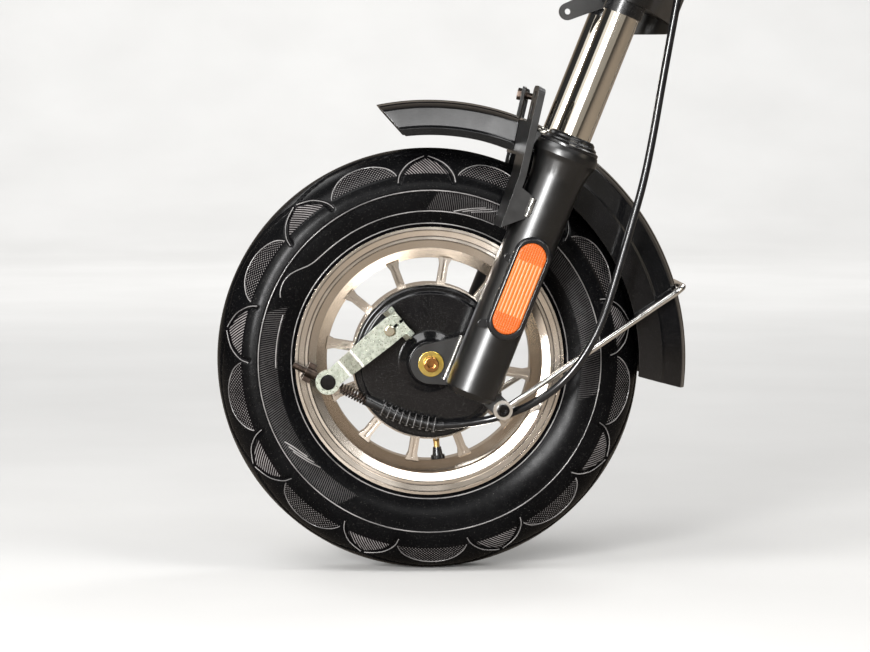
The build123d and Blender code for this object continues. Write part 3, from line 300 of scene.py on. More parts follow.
@dataclass(frozen=True)
class TurnedMetal(Finish):
    """Metal turned round the wheel's axle, with painted shade in the corners of its steps."""

    anisotropy: float = 0.55
    shaded_radii: tuple[float, ...] = (0.1127, 0.1074, 0.1043)
    shade_reach: float = 0.0009
    step_shade: float = 0.8
    shade_lumps: float = 45.0
    shade_noise: Pair = (0.3, 0.6)
    shade_uneven: Pair = (0.6, 1.0)
    painted_shade_colour: Triple = (0.05, 0.04, 0.035)

    def build(self) -> Material:
        """Makes the material."""
        sheet = self.start()
        place = sheet.moved(DATUM.wheel)
        turned = sheet.add("ShaderNodeVectorMath", {0: place, 1: LEFT}, operation="CROSS_PRODUCT")
        sheet.give({"Tangent": turned, "Anisotropic": self.anisotropy})
        # Painted shade: dark rings where the rim's steps meet, uneven round the wheel.
        total = sheet.near(sheet.from_axle(place), self.shaded_radii, 0.0, self.shade_reach, self.step_shade)
        uneven = sheet.times(total, sheet.ramp(sheet.noise(self.shade_lumps), *self.shade_noise, *self.shade_uneven))
        sheet.overpaint(uneven, self.painted_shade_colour)
        return sheet.material


@dataclass(frozen=True)
class PlateEnamel(Finish):
    """Gloss enamel that has run round the foot of the brake plate's cone and eases its slope."""

    cone_top: float = 0.0205
    cone_foot: float = 0.0268
    ease: float = 0.0030

    def build(self) -> Material:
        """Makes the material."""
        sheet = self.start()
        away = sheet.from_axle(sheet.moved(DATUM.wheel))
        sheet.bump(sheet.ramp(away, self.cone_top, self.cone_foot), self.ease, under=sheet.now("Normal"))
        return sheet.material


@dataclass(frozen=True)
class Hammered(Finish):
    """Plated sheet steel with small dents, and a few painted highlight lines across its length where it bends."""

    dents: float = 1700.0
    dent_depth: float = 0.00006
    dent_grain: float = 2.5
    start_point: Vector = Vector((0, 0, 0))
    direction: Vector = Vector((1, 0, 0))
    highlight_lines: tuple[float, ...] = ()
    highlight_reach: float = 0.0014
    highlight_share: float = 0.85
    highlight_colour: Triple = (0.93, 0.93, 0.9)

    def build(self) -> Material:
        """Makes the material."""
        sheet = self.start()
        along = sheet.add("ShaderNodeVectorMath", {0: sheet.moved(self.start_point), 1: self.direction},
                          operation="DOT_PRODUCT")
        # Painted highlights: light lines across the arm at its bends, where the bent faces catch the light.
        painted_highlight_mask = sheet.near(along.outputs["Value"], self.highlight_lines, self.highlight_reach / 2, self.highlight_reach,
                          self.highlight_share)
        sheet.overpaint(painted_highlight_mask, self.highlight_colour)
        cells = sheet.add("ShaderNodeTexVoronoi", {"Vector": sheet.place, "Scale": self.dents},
                          feature="SMOOTH_F1")
        height = sheet.maths("ADD", cells.outputs["Distance"], sheet.noise(self.dents * self.dent_grain, detail=2.0))
        sheet.bump(height, self.dent_depth)
        return sheet.material


@dataclass(frozen=True)
class PrismLens(Finish):
    """Clear orange plastic over prisms: long ribs in the middle, a net of cells at the ends.

    The prisms' light and shade is painted into the colour, over a random tone. A shade is how much of the pattern
    shows, and what is added to it.
    """

    centre: Vector = Vector((0, 0, 0))
    rib_pitch: float = 0.0031
    cell_pitch: float = 0.0021
    rib_reach: float = 0.0235
    reach_ease: float = 0.0004
    prism_depth: float = 0.0004
    prism_strength: float = 0.8
    net_range: Pair = (-0.8, 0.8)
    rib_shade: Pair = (0.34, 0.5)
    net_shade: Pair = (0.5, 0.04)
    lump_shade: float = 0.4
    shade_range: Pair = (0.15, 1.1)

    def build(self) -> Material:
        """Makes the material."""
        sheet = self.start()
        lean = math.atan2(-DATUM.up_legs.x, DATUM.up_legs.z)
        ahead, _, along = sheet.split(sheet.moved(self.centre, (0, lean, 0)))
        ribs = sheet.maths("ABSOLUTE", sheet.wave(ahead, self.rib_pitch))
        one, two = (sheet.wave(sheet.maths(sign, ahead, along), self.cell_pitch) for sign in ("ADD", "SUBTRACT"))
        net = sheet.ramp(sheet.times(one, two), *self.net_range)
        at_end = sheet.ramp(sheet.maths("ABSOLUTE", along), self.rib_reach - self.reach_ease,
                            self.rib_reach + self.reach_ease)
        # Painted light and shade of the prisms: the ribs and the cells lighten and darken the colour; the noise adds a
        # random tone.
        level = sheet.choose(at_end, sheet.maths("MULTIPLY_ADD", ribs, *self.rib_shade),
                             sheet.maths("MULTIPLY_ADD", net, *self.net_shade))
        shade = sheet.maths("MULTIPLY_ADD", sheet.noise(self.lumps), self.lump_shade, level)
        sheet.give({"Base Color": sheet.blend(sheet.ramp(shade, *self.shade_range), self.base, self.tint)})
        sheet.bump(sheet.choose(at_end, ribs, net), self.prism_depth, self.prism_strength)
        return sheet.material


@dataclass(frozen=True)
class TreadRubber(Finish):
    """Tyre rubber whose hatched patches follow the tyre's own mesh attributes; the hatch lines carry a painted sheen.

    Pitches are in millimetres. A slope is how far a line moves round for each step up.
    """

    line_pitch: float = 2.6
    net_pitch: float = 2.7
    fine_pitch: float = 2.2
    line_slope: float = 0.75
    net_slope: float = 0.9
    fine_slope: float = 0.35
    wave_edge: Pair = (-0.1, 0.8)
    hatch_sheen_colour: Triple = (0.2, 0.184, 0.18)
    hatch_depth: float = 0.0005
    hatch_strength: float = 0.7
    hatch_uneven: Pair = (0.55, 1.0)
    fine_share: float = 0.2
    mask_edge: Pair = (0.35, 0.65)
    fine_edge: Pair = (0.2, 0.8)
    rubber_lumps: float = 22.0
    hatch_lumps: float = 70.0
    pores: float = 1600.0
    pore_depth: float = 0.000015
    road_specks: float = 1500.0
    road_speck_range: Pair = (0.72, 0.76)
    road_dust: Triple = (0.62, 0.58, 0.52)

    def build(self) -> Material:
        """Makes the material."""
        sheet = self.start()

        def shared(name: str) -> tuple[Socket, Socket, Socket]:
            """The three parts of one of the mesh's attributes."""
            return sheet.split(sheet.add("ShaderNodeAttribute", attribute_name=name).outputs["Vector"])

        along, across, _ = shared("tread_place")

        def lines(pitch: float, slope: float) -> Socket:
            """A wave of slanting lines, from 0 to 1."""
            slanted = sheet.maths("MULTIPLY_ADD", across, slope, along)
            return sheet.ramp(sheet.wave(slanted, pitch / 2), *self.wave_edge)

        net_mask, line_mask, fine_mask = shared("tread_mask")
        net = sheet.times(lines(self.net_pitch, self.net_slope), lines(self.net_pitch, -self.net_slope))
        net = sheet.times(net, sheet.ramp(net_mask, *self.mask_edge))
        straight = sheet.times(lines(self.line_pitch, self.line_slope), sheet.ramp(line_mask, *self.mask_edge))
        faint = sheet.times(sheet.times(lines(self.fine_pitch, self.fine_slope), self.fine_share),
                            sheet.ramp(fine_mask, *self.fine_edge))
        total = sheet.maths("ADD", sheet.maths("ADD", net, straight), faint, clamp=True)
        rubber = sheet.blend(sheet.ramp(sheet.noise(self.rubber_lumps, detail=4.0), *self.clouds), self.base, self.tint)
        specks = sheet.ramp(sheet.noise(self.road_specks, detail=1.0), *self.road_speck_range, 0.0, self.dust)
        rubber = sheet.blend(specks, rubber, self.road_dust)
        # Painted sheen: the hatch lines are lighter than the rubber, as where their fine ridges catch the light.
        share = sheet.times(total, sheet.ramp(sheet.noise(self.hatch_lumps), *NOISE_RANGE, *self.hatch_uneven))
        sheet.give({"Base Color": sheet.blend(share, rubber, self.hatch_sheen_colour)})
        sheet.bump(sheet.noise(self.pores), self.pore_depth)
        sheet.bump(total, self.hatch_depth, self.hatch_strength, sheet.now("Normal"))
        return sheet.material


class Slot(Enum):
    """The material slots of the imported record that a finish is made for."""

    TYRE = "tyre"
    ALLOY = "alloy"
    DRUM_IRON = "drum_iron"
    BEARING = "bearing_steel"
    RUBBER = "rubber"
    BRASS = "brass_plate"
    GLOSS_BLACK = "gloss_black"
    ZINC = "zinc_plate"
    DARK_STEEL = "dark_steel"
    SHEATH = "sheath"
    SATIN_BLACK = "satin_black"
    CHROME = "chrome"
    BRIGHT_STEEL = "bright_steel"
    COPPER = "copper_plate"
    YELLOW_ZINC = "yellow_zinc"
    GUARD = "guard_plastic"
    HOUSING = "reflector_black"
    LENS = "reflector_orange"


CAM = (34.8, 28.0)
ARM_FALL = math.radians(40)
LENS_CENTRE = DATUM.on_fork(-3.3, 0, 88.3)
FINISHES: dict[Slot, Finish] = {
    Slot.TYRE: TreadRubber("tyre_rubber", (0.0012, 0.0012, 0.0014), (0.0024, 0.0024, 0.0026), gloss=(0.22, 0.3),
                           dust=0.1, specular=0.06),
    Slot.ALLOY: TurnedMetal("machined_alloy", (0.74, 0.68, 0.61), (0.64, 0.58, 0.51), 1.0, (0.18, 0.25), lumps=14.0,
                            grain_depth=0.00001),
    Slot.DRUM_IRON: Finish("turned_iron", (0.2, 0.19, 0.18), (0.12, 0.11, 0.1), 1.0, (0.4, 0.6)),
    Slot.BEARING: Finish("ground_steel", (0.55, 0.55, 0.56), (0.45, 0.45, 0.46), 1.0, (0.2, 0.3)),
    Slot.RUBBER: Finish("moulded_rubber", (0.002, 0.002, 0.0022), (0.004, 0.004, 0.0044), gloss=(0.2, 0.3),
                        dust=0.12),
    Slot.BRASS: Finish("brass_cap", (0.72, 0.5, 0.2), (0.6, 0.4, 0.16), 1.0, (0.25, 0.4)),
    Slot.GLOSS_BLACK: PlateEnamel("gloss_enamel", (0.002, 0.002, 0.0023), (0.003, 0.003, 0.0034), gloss=(0.12, 0.18),
                                  lumps=30.0, grain=350.0, grain_depth=0.000003, dust=0.12, specular=0.35),
    Slot.ZINC: Hammered("hammered_zinc", (0.44, 0.465, 0.4), (0.29, 0.315, 0.265), 1.0, (0.25, 0.34), lumps=260.0,
                        start_point=DATUM.on_wheel(CAM[0], 0, CAM[1]),
                        direction=Vector((math.cos(ARM_FALL), 0, -math.sin(ARM_FALL))),
                        highlight_lines=(0.0368, 0.0502)),
    Slot.DARK_STEEL: Finish("blackened_steel", (0.075, 0.055, 0.045), (0.03, 0.024, 0.02), 1.0, (0.26, 0.42), 200.0),
    Slot.SHEATH: Finish("cable_sheath", (0.004, 0.004, 0.0045), (0.008, 0.008, 0.0085), gloss=(0.16, 0.24),
                        grain=700.0, grain_depth=0.000008),
    Slot.SATIN_BLACK: Finish("satin_powder_coat", (0.0012, 0.0012, 0.0013), (0.0022, 0.0021, 0.0021),
                             gloss=(0.3, 0.36), lumps=40.0, grain=1300.0, grain_depth=0.000008, dust=0.06,
                             specular=0.62),
    Slot.CHROME: Finish("hard_chrome", (0.84, 0.79, 0.7), (0.8, 0.75, 0.66), 1.0, (0.05, 0.09), 25.0, 200.0,
                        0.000004),
    Slot.BRIGHT_STEEL: Finish("drawn_steel", (0.9, 0.89, 0.87), (0.78, 0.77, 0.75), 1.0, (0.16, 0.26),
                              grain_depth=0.00001),
    Slot.COPPER: Finish("copper_plated_bolt", (0.58, 0.29, 0.1), (0.44, 0.21, 0.07), 1.0, (0.16, 0.24), 200.0,
                        grain_depth=0.000008),
    Slot.YELLOW_ZINC: Finish("yellow_zinc", (0.86, 0.64, 0.14), (0.78, 0.6, 0.2), 1.0, (0.16, 0.26), 160.0,
                             grain_depth=0.000008),
    Slot.GUARD: Finish("gloss_guard", (0.0014, 0.0014, 0.0016), (0.0026, 0.0026, 0.003), gloss=(0.1, 0.16),
                       lumps=25.0, grain=500.0, grain_depth=0.000003, dust=0.08, specular=0.6),
    Slot.HOUSING: Finish("reflector_frame", (0.004, 0.004, 0.0045), (0.009, 0.009, 0.0095), gloss=(0.16, 0.26)),
    Slot.LENS: PrismLens("orange_lens", (0.32, 0.05, 0.006), (0.45, 0.108, 0.018), gloss=(0.26, 0.36), coat=0.1,
                         specular=0.2, centre=LENS_CENTRE),
}
# Painted highlight: light grey rubber for the tyre's raised lines and groove lips and the boot's rib edges, where sharp
# edges catch the light.
PAINTED_EDGE_HIGHLIGHT = Finish("moulded_edge", (0.07, 0.067, 0.066), (0.2, 0.19, 0.185), gloss=(0.12, 0.2), lumps=35.0)
# Painted highlight: the weld beads, painted black like the legs, get a light grey metal finish so that their ripples
# shine.
PAINTED_WELD_HIGHLIGHT = Finish("weld_bead", (0.3, 0.29, 0.27), (0.03, 0.03, 0.03), 0.7, (0.1, 0.22), 520.0, 1500.0, 0.00006)
GOLD_PASSIVE = Finish("gold_passivated", (0.9, 0.86, 0.7), (0.74, 0.7, 0.56), 1.0, (0.14, 0.22),
                      grain_depth=0.000008)
BLACK_OXIDE = Finish("black_oxide", (0.02, 0.02, 0.021), (0.035, 0.033, 0.032), 1.0, (0.2, 0.3),
                     grain_depth=0.00001)

EDGES: dict[str, tuple[float, int, float]] = {
    "wheel_casting": (0.45, 2, 24), "brake_plate": (0.8, 3, 24), "brake_arm": (0.6, 3, 12),
    "brake_cam_shaft": (0.4, 2, 30), "arm_pinch_bolt": (0.35, 2, 30), "swivel_pin": (0.5, 2, 30),
    "wing_nut": (0.5, 3, 30), "cable_boot": (0.5, 3, 24), "lower_leg": (0.9, 3, 24), "dust_seal": (0.5, 2, 24),
    "reflector_housing": (0.6, 3, 24), "reflector_lens": (0.7, 3, 24), "stay_screw": (0.4, 2, 30),
    "yoke": (1.6, 3, 24), "fork_bridge": (0.7, 3, 24), "ear_bolt": (0.4, 2, 30), "cable_guide": (0.4, 2, 30),
    "mudguard_front": (0.5, 2, 12), "mudguard_rear": (0.5, 2, 12), "mudguard_stay": (0.5, 3, 35),
    "axle": (0.4, 2, 30), "axle_nut": (0.7, 2, 30), "axle_washer": (0.4, 2, 30),
}
"""Bevel width in millimetres, its segments and the least angle in degrees, by node without its side."""
SAME_POINT = 0.00001
SAME_FACE = math.radians(1.0)
FLAT_WEIGHT = 80
"""How near points are merged, how level faces are joined, and how strongly large faces stay flat."""


class Wardrobe:
    """Every finish, made once, with the calls that put one on a piece."""

    def __init__(self) -> None:
        """Builds a material for each slot."""
        self.materials: dict[Slot, Material] = {slot: finish.build() for slot, finish in FINISHES.items()}
        self.moulded_edge: Material = PAINTED_EDGE_HIGHLIGHT.build()
        self.gold: Material = GOLD_PASSIVE.build()
        self.weld_bead: Material = PAINTED_WELD_HIGHLIGHT.build()
        self.oxide: Material = BLACK_OXIDE.build()
        self.node_slots: dict[str, Slot] = {
            row["node"]: Slot(row["material_slot"]) for row in frame["record"]["subparts"]
        }

    def wear(self, piece: Thing, slot: Slot, body: str, replaced: Iterable[str] = (),
             finish: Material | None = None) -> Thing:
        """Gives a new piece its finish, its body and the CAD nodes it stands for.

        Args:
            piece: The finished mesh or curve object.
            slot: Its material slot.
            body: The body that carries it.
            replaced: Names of the CAD nodes that it hides.
            finish: A finish of its own in place of the slot's.

        Returns:
            The same piece.
        """
        piece.data.materials.clear()
        piece.data.materials.append(finish or self.materials[slot])
        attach(piece, body)
        if replaced:
            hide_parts(*replaced)
        size = len(piece.data.polygons) if piece.type == "MESH" else 0
        LOG.info("%s rides on %s, %d faces", piece.name, body, size)
        return piece

    def soften(self, *nodes: str, body: str = "fork", finish: Material | None = None) -> None:
        """Puts copies of CAD nodes with rounded edges in the nodes' places."""
        for node in nodes:
            self.wear(softened(node, *EDGES[node.removesuffix("_left").removesuffix("_right")]),
                      self.node_slots[node], body, (node,), finish)

    def grow(self, name: str, tree: Tree, values: dict[str, object], slot: Slot, body: str = "fork",
             place: Matrix = HERE, source: Thing | None = None, replaced: Iterable[str] = (),
             finish: Material | None = None) -> Thing:
        """Runs a geometry tree, bakes what it makes and dresses it.

        Args:
            name: Name of the piece.
            tree: The node tree.
            values: Inputs by their names, without the material.
            slot: Its material slot.
            body: The body that carries it.
            place: Where the result lies.
            source: The object that carries the tree, or nothing for an empty mesh.
            replaced: Names of the CAD nodes that it hides.
            finish: A finish of its own in place of the slot's.

        Returns:
            The piece.
        """
        thing = source or new_object(name + "_seed", bpy.data.meshes.new(name + "_seed"))
        modifier = thing.modifiers.new("grow", "NODES")
        modifier.node_group = tree
        values = {**values, "Material": finish or self.materials[slot]}
        for item in tree.interface.items_tree:
            if item.item_type == "SOCKET" and item.in_out == "INPUT" and item.name in values:
                modifier[item.identifier] = values[item.name]
        return self.wear(bake(thing, name, place), slot, body, replaced, finish)

    def dress_nodes(self) -> None:
        """Gives every CAD node the material of its slot."""
        for name, node in frame["nodes"].items():
            node.data.materials.clear()
            node.data.materials.append(self.materials[self.node_slots[name]])


def new_object(name: str, data: Mesh | bpy.types.Curve) -> Thing:
    """Links a new object to the scene."""
    thing = bpy.data.objects.new(name, data)
    bpy.context.scene.collection.objects.link(thing)
    return thing


def shade_smooth(mesh: Mesh) -> Mesh:
    """Shades every face smooth and hands the mesh back."""
    mesh.polygons.foreach_set("use_smooth", [True] * len(mesh.polygons))
    mesh.update()
    return mesh


def mesh_from(name: str, points: Iterable[Sequence[float]], faces: Iterable[Sequence[int]]) -> Mesh:
    """A smooth-shaded mesh from its points and faces."""
    mesh = bpy.data.meshes.new(name)
    mesh.from_pydata([tuple(point) for point in points], [], [tuple(face) for face in faces])
    return shade_smooth(mesh)


def bake(source: Thing, name: str, place: Matrix = HERE) -> Thing:
    """Turns an object with live modifiers into a plain mesh object and removes it.

    Args:
        source: The object to evaluate.
        name: Name of the piece.
        place: Where its own coordinates lie.

    Returns:
        The new object, at the origin.
    """
    graph = bpy.context.evaluated_depsgraph_get()
    graph.update()
    mesh = bpy.data.meshes.new_from_object(source.evaluated_get(graph), depsgraph=graph)
    mesh.transform(place)
    old = source.data
    bpy.data.objects.remove(source)
    if isinstance(old, Mesh):
        bpy.data.meshes.remove(old)
    return new_object(name, mesh)


def softened(node_name: str, width: float, segments: int, angle: float) -> Thing:
    """A merged copy of a CAD node with its edges rounded, to stand in its place.

    Args:
        node_name: Name of the CAD node.
        width: Bevel width in millimetres.
        segments: Steps round each edge.
        angle: Edges that turn by more than this many degrees are rounded.

    Returns:
        The new object.
    """
    builder = bmesh.new()
    builder.from_mesh(frame["nodes"][node_name].data)
    bmesh.ops.remove_doubles(builder, verts=builder.verts, dist=SAME_POINT)
    bmesh.ops.dissolve_limit(builder, angle_limit=SAME_FACE, verts=builder.verts, edges=builder.edges)
    mesh = bpy.data.meshes.new(node_name)
    builder.to_mesh(mesh)
    builder.free()
    thing = new_object(node_name + "_raw", shade_smooth(mesh))
    bevel = thing.modifiers.new("edges", "BEVEL")
    bevel.width = width * MM
    bevel.segments = segments
    bevel.limit_method = "ANGLE"
    bevel.angle_limit = math.radians(angle)
    bevel.use_clamp_overlap = True
    thing.modifiers.new("flat_faces_stay_flat", "WEIGHTED_NORMAL").weight = FLAT_WEIGHT
    return bake(thing, node_name + "_finished")


class TreeBuilder(NodeMaker):
    """A geometry node tree with named inputs that ends in Realize Instances and Set Material."""

    kinds = {float: "NodeSocketFloat", int: "NodeSocketInt", tuple: "NodeSocketVector"}

    def __init__(self, name: str, inputs: dict[str, float | int | Triple]) -> None:
        """Makes the tree, its sockets and its input and output nodes."""
        super().__init__(bpy.data.node_groups.new(name, "GeometryNodeTree"))
        face = self.tree.interface
        face.new_socket("Geometry", in_out="INPUT", socket_type="NodeSocketGeometry")
        for label, value in inputs.items():
            face.new_socket(label, in_out="INPUT", socket_type=self.kinds[type(value)]).default_value = value
        face.new_socket("Material", in_out="INPUT", socket_type="NodeSocketMaterial")
        face.new_socket("Geometry", in_out="OUTPUT", socket_type="NodeSocketGeometry")
        self.given = self.add("NodeGroupInput").outputs
        self.result: Node = self.add("NodeGroupOutput")

    def tube(self, curve: Node | str, sides: int | str, radius: str, caps: bool = True) -> Node:
        """A tube along a curve."""
        section = self.add("GeometryNodeCurvePrimitiveCircle", {"Resolution": sides, "Radius": radius})
        return self.add("GeometryNodeCurveToMesh", {"Curve": curve, "Profile Curve": section, "Fill Caps": caps})

    def copies(self, points: Node, instance: Node, rotation: Node | Socket, **more: Socket) -> Node:
        """Copies of a shape on points."""
        return self.add("GeometryNodeInstanceOnPoints", {
            "Points": points, "Instance": instance, "Rotation": rotation, **more})

    def finish(self, geometry: Node) -> Tree:
        """Realizes the instances, sets the material and closes the tree."""
        real = self.add("GeometryNodeRealizeInstances", {"Geometry": geometry})
        smooth = self.add("GeometryNodeSetShadeSmooth", {"Geometry": real})
        self.fill(self.result, {0: self.add("GeometryNodeSetMaterial", {"Geometry": smooth, "Material": "Material"})})
        return self.tree


def coil_tree() -> Tree:
    """A wire coil."""
    build = TreeBuilder("wire_coil", {"Turns": 8.0, "Start Radius": 0.005, "End Radius": 0.005, "Height": 0.02,
                                      "Wire Radius": 0.0006, "Sides": 8, "Steps": 24})
    spiral = build.add("GeometryNodeCurveSpiral", {
        "Resolution": "Steps", "Rotations": "Turns", "Start Radius": "Start Radius", "End Radius": "End Radius",
        "Height": "Height"})
    return build.finish(build.tube(spiral, "Sides", "Wire Radius"))


def bead_tree() -> Tree:
    """A thin moulded line along every spline of the curve that carries the tree."""
    build = TreeBuilder("moulded_line", {"Width": 0.0005, "Sides": 6})
    return build.finish(build.tube("Geometry", "Sides", "Width"))


def ring_tree() -> Tree:
    """Thin rings at even steps along the curve that carries the tree."""
    build = TreeBuilder("rings_on_curve", {"Start": 0.0, "End": 1.0, "Count": 9, "Ring Radius": 0.006,
                                           "Width": 0.0003})
    stretch = build.add("GeometryNodeTrimCurve", {"Curve": "Geometry", "Start": "Start", "End": "End"})
    even = build.add("GeometryNodeResampleCurve", {"Curve": stretch, "Count": "Count"})
    spots = build.add("GeometryNodeCurveToPoints", {"Curve": even}, mode="EVALUATED")
    ring = build.add("GeometryNodeCurvePrimitiveCircle", {"Resolution": 24, "Radius": "Ring Radius"})
    copies = build.copies(spots, ring, spots.outputs["Rotation"])
    real = build.add("GeometryNodeRealizeInstances", {"Geometry": copies})
    return build.finish(build.tube(real, 6, "Width", caps=False))


def whisker_tree() -> Tree:
    """Short moulding whiskers scattered over the surface that carries the tree."""
    build = TreeBuilder("moulding_whiskers", {"Density": 800.0, "Seed": 7, "Length": 0.002, "Foot Radius": 0.0003,
                                              "Tip Radius": 0.00022})
    spots = build.add("GeometryNodeDistributePointsOnFaces", {
        "Mesh": "Geometry", "Density": "Density", "Seed": "Seed"})
    hair = build.add("GeometryNodeMeshCone", {
        "Vertices": 6, "Radius Top": "Tip Radius", "Radius Bottom": "Foot Radius", "Depth": "Length"})
    size = build.add("FunctionNodeRandomValue", {"Min": 0.5, "Max": 1.0, "Seed": "Seed"}, data_type="FLOAT")
    scale = next(socket for socket in size.outputs if socket.enabled)
    return build.finish(build.copies(spots, hair, spots.outputs["Rotation"], Scale=scale))


def round_tree() -> Tree:
    """Copies of a small block set round a circle, such as the ribs of a knurl."""
    build = TreeBuilder("round_row", {"Count": 24, "Radius": 0.003, "Size": (0.001, 0.001, 0.004)})
    circle = build.add("GeometryNodeMeshCircle", {"Vertices": "Count", "Radius": "Radius"})
    block = build.add("GeometryNodeMeshCube", {"Size": "Size"})
    turn = build.add("FunctionNodeAlignRotationToVector", {"Vector": build.add("GeometryNodeInputPosition")},
                     axis="X")
    return build.finish(build.copies(circle, block, turn))


def curve_object(name: str, lines: Iterable[Sequence[Vector]], kind: str = "POLY") -> Thing:
    """A curve object with one spline for each row of points."""
    data = bpy.data.curves.new(name, "CURVE")
    data.dimensions = "3D"
    for row in lines:
        spline = data.splines.new(kind)
        spline.points.add(len(row) - 1)
        for point, place in zip(spline.points, row):
            point.co = (*place, 1.0)
    return new_object(name, data)


def arc_through(first: Pair, middle: Pair, last: Pair, count: int) -> list[Pair]:
    """Points along the circle through three points, both ends included."""
    (ax, ay), (bx, by), (cx, cy) = first, middle, last
    a2, b2, c2 = (x * x + y * y for x, y in (first, middle, last))
    d = 2 * (ax * (by - cy) + bx * (cy - ay) + cx * (ay - by))
    ux = (a2 * (by - cy) + b2 * (cy - ay) + c2 * (ay - by)) / d
    uy = (a2 * (cx - bx) + b2 * (ax - cx) + c2 * (bx - ax)) / d
    radius = math.hypot(ax - ux, ay - uy)
    start = math.atan2(ay - uy, ax - ux)
    middle_turn, end_turn = ((math.atan2(y - uy, x - ux) - start + math.pi) % math.tau - math.pi
                             for x, y in (middle, last))
    if middle_turn * end_turn < 0:
        end_turn += math.copysign(math.tau, middle_turn)
    turns = [start + end_turn * k / (count - 1) for k in range(count)]
    return [(ux + radius * math.cos(turn), uy + radius * math.sin(turn)) for turn in turns]


def distance_to_line(x: np.ndarray, y: np.ndarray, line: Sequence[Pair], x_size: np.ndarray) -> np.ndarray:
    """Distance from points to a bent line, where x is stretched to millimetres."""
    nearest = np.full(np.broadcast(x, y).shape, FAR)
    for (ax, ay), (bx, by) in zip(line, line[1:]):
        run_x, run_y = (bx - ax) * x_size, by - ay
        from_x, from_y = (x - ax) * x_size, y - ay
        share = np.clip((from_x * run_x + from_y * run_y) / (run_x ** 2 + run_y ** 2), 0, 1)
        nearest = np.minimum(nearest, np.hypot(from_x - share * run_x, from_y - share * run_y))
    return nearest


def height_of(line: Sequence[Pair], x: np.ndarray, before: float, after: float) -> np.ndarray:
    """The height of a bent line over x, and what counts before its first and after its last point."""
    return np.interp(x, *zip(*line), left=before, right=after)


def fade(value: np.ndarray, width: float) -> np.ndarray:
    """A slope that is 0 up to the value 0 and 1 from the width on."""
    return np.clip(value / width, 0.0, 1.0)


def smoothed(line: Sequence[Pair], steps: int = 5) -> list[Pair]:
    """More points on an easy curve through the given ones."""
    rows = [np.array(point, dtype=float) for point in line]
    rows = [2 * rows[0] - rows[1]] + rows + [2 * rows[-1] - rows[-2]]
    result = []
    for a, b, c, d in zip(rows, rows[1:], rows[2:], rows[3:]):
        for t in (k / steps for k in range(steps)):
            result.append(0.5 * (2 * b + (c - a) * t + (2 * a - 5 * b + 4 * c - d) * t * t
                                 + (3 * b - a - 3 * c + d) * t ** 3))
    return [(float(x), float(y)) for x, y in result + [rows[-2]]]


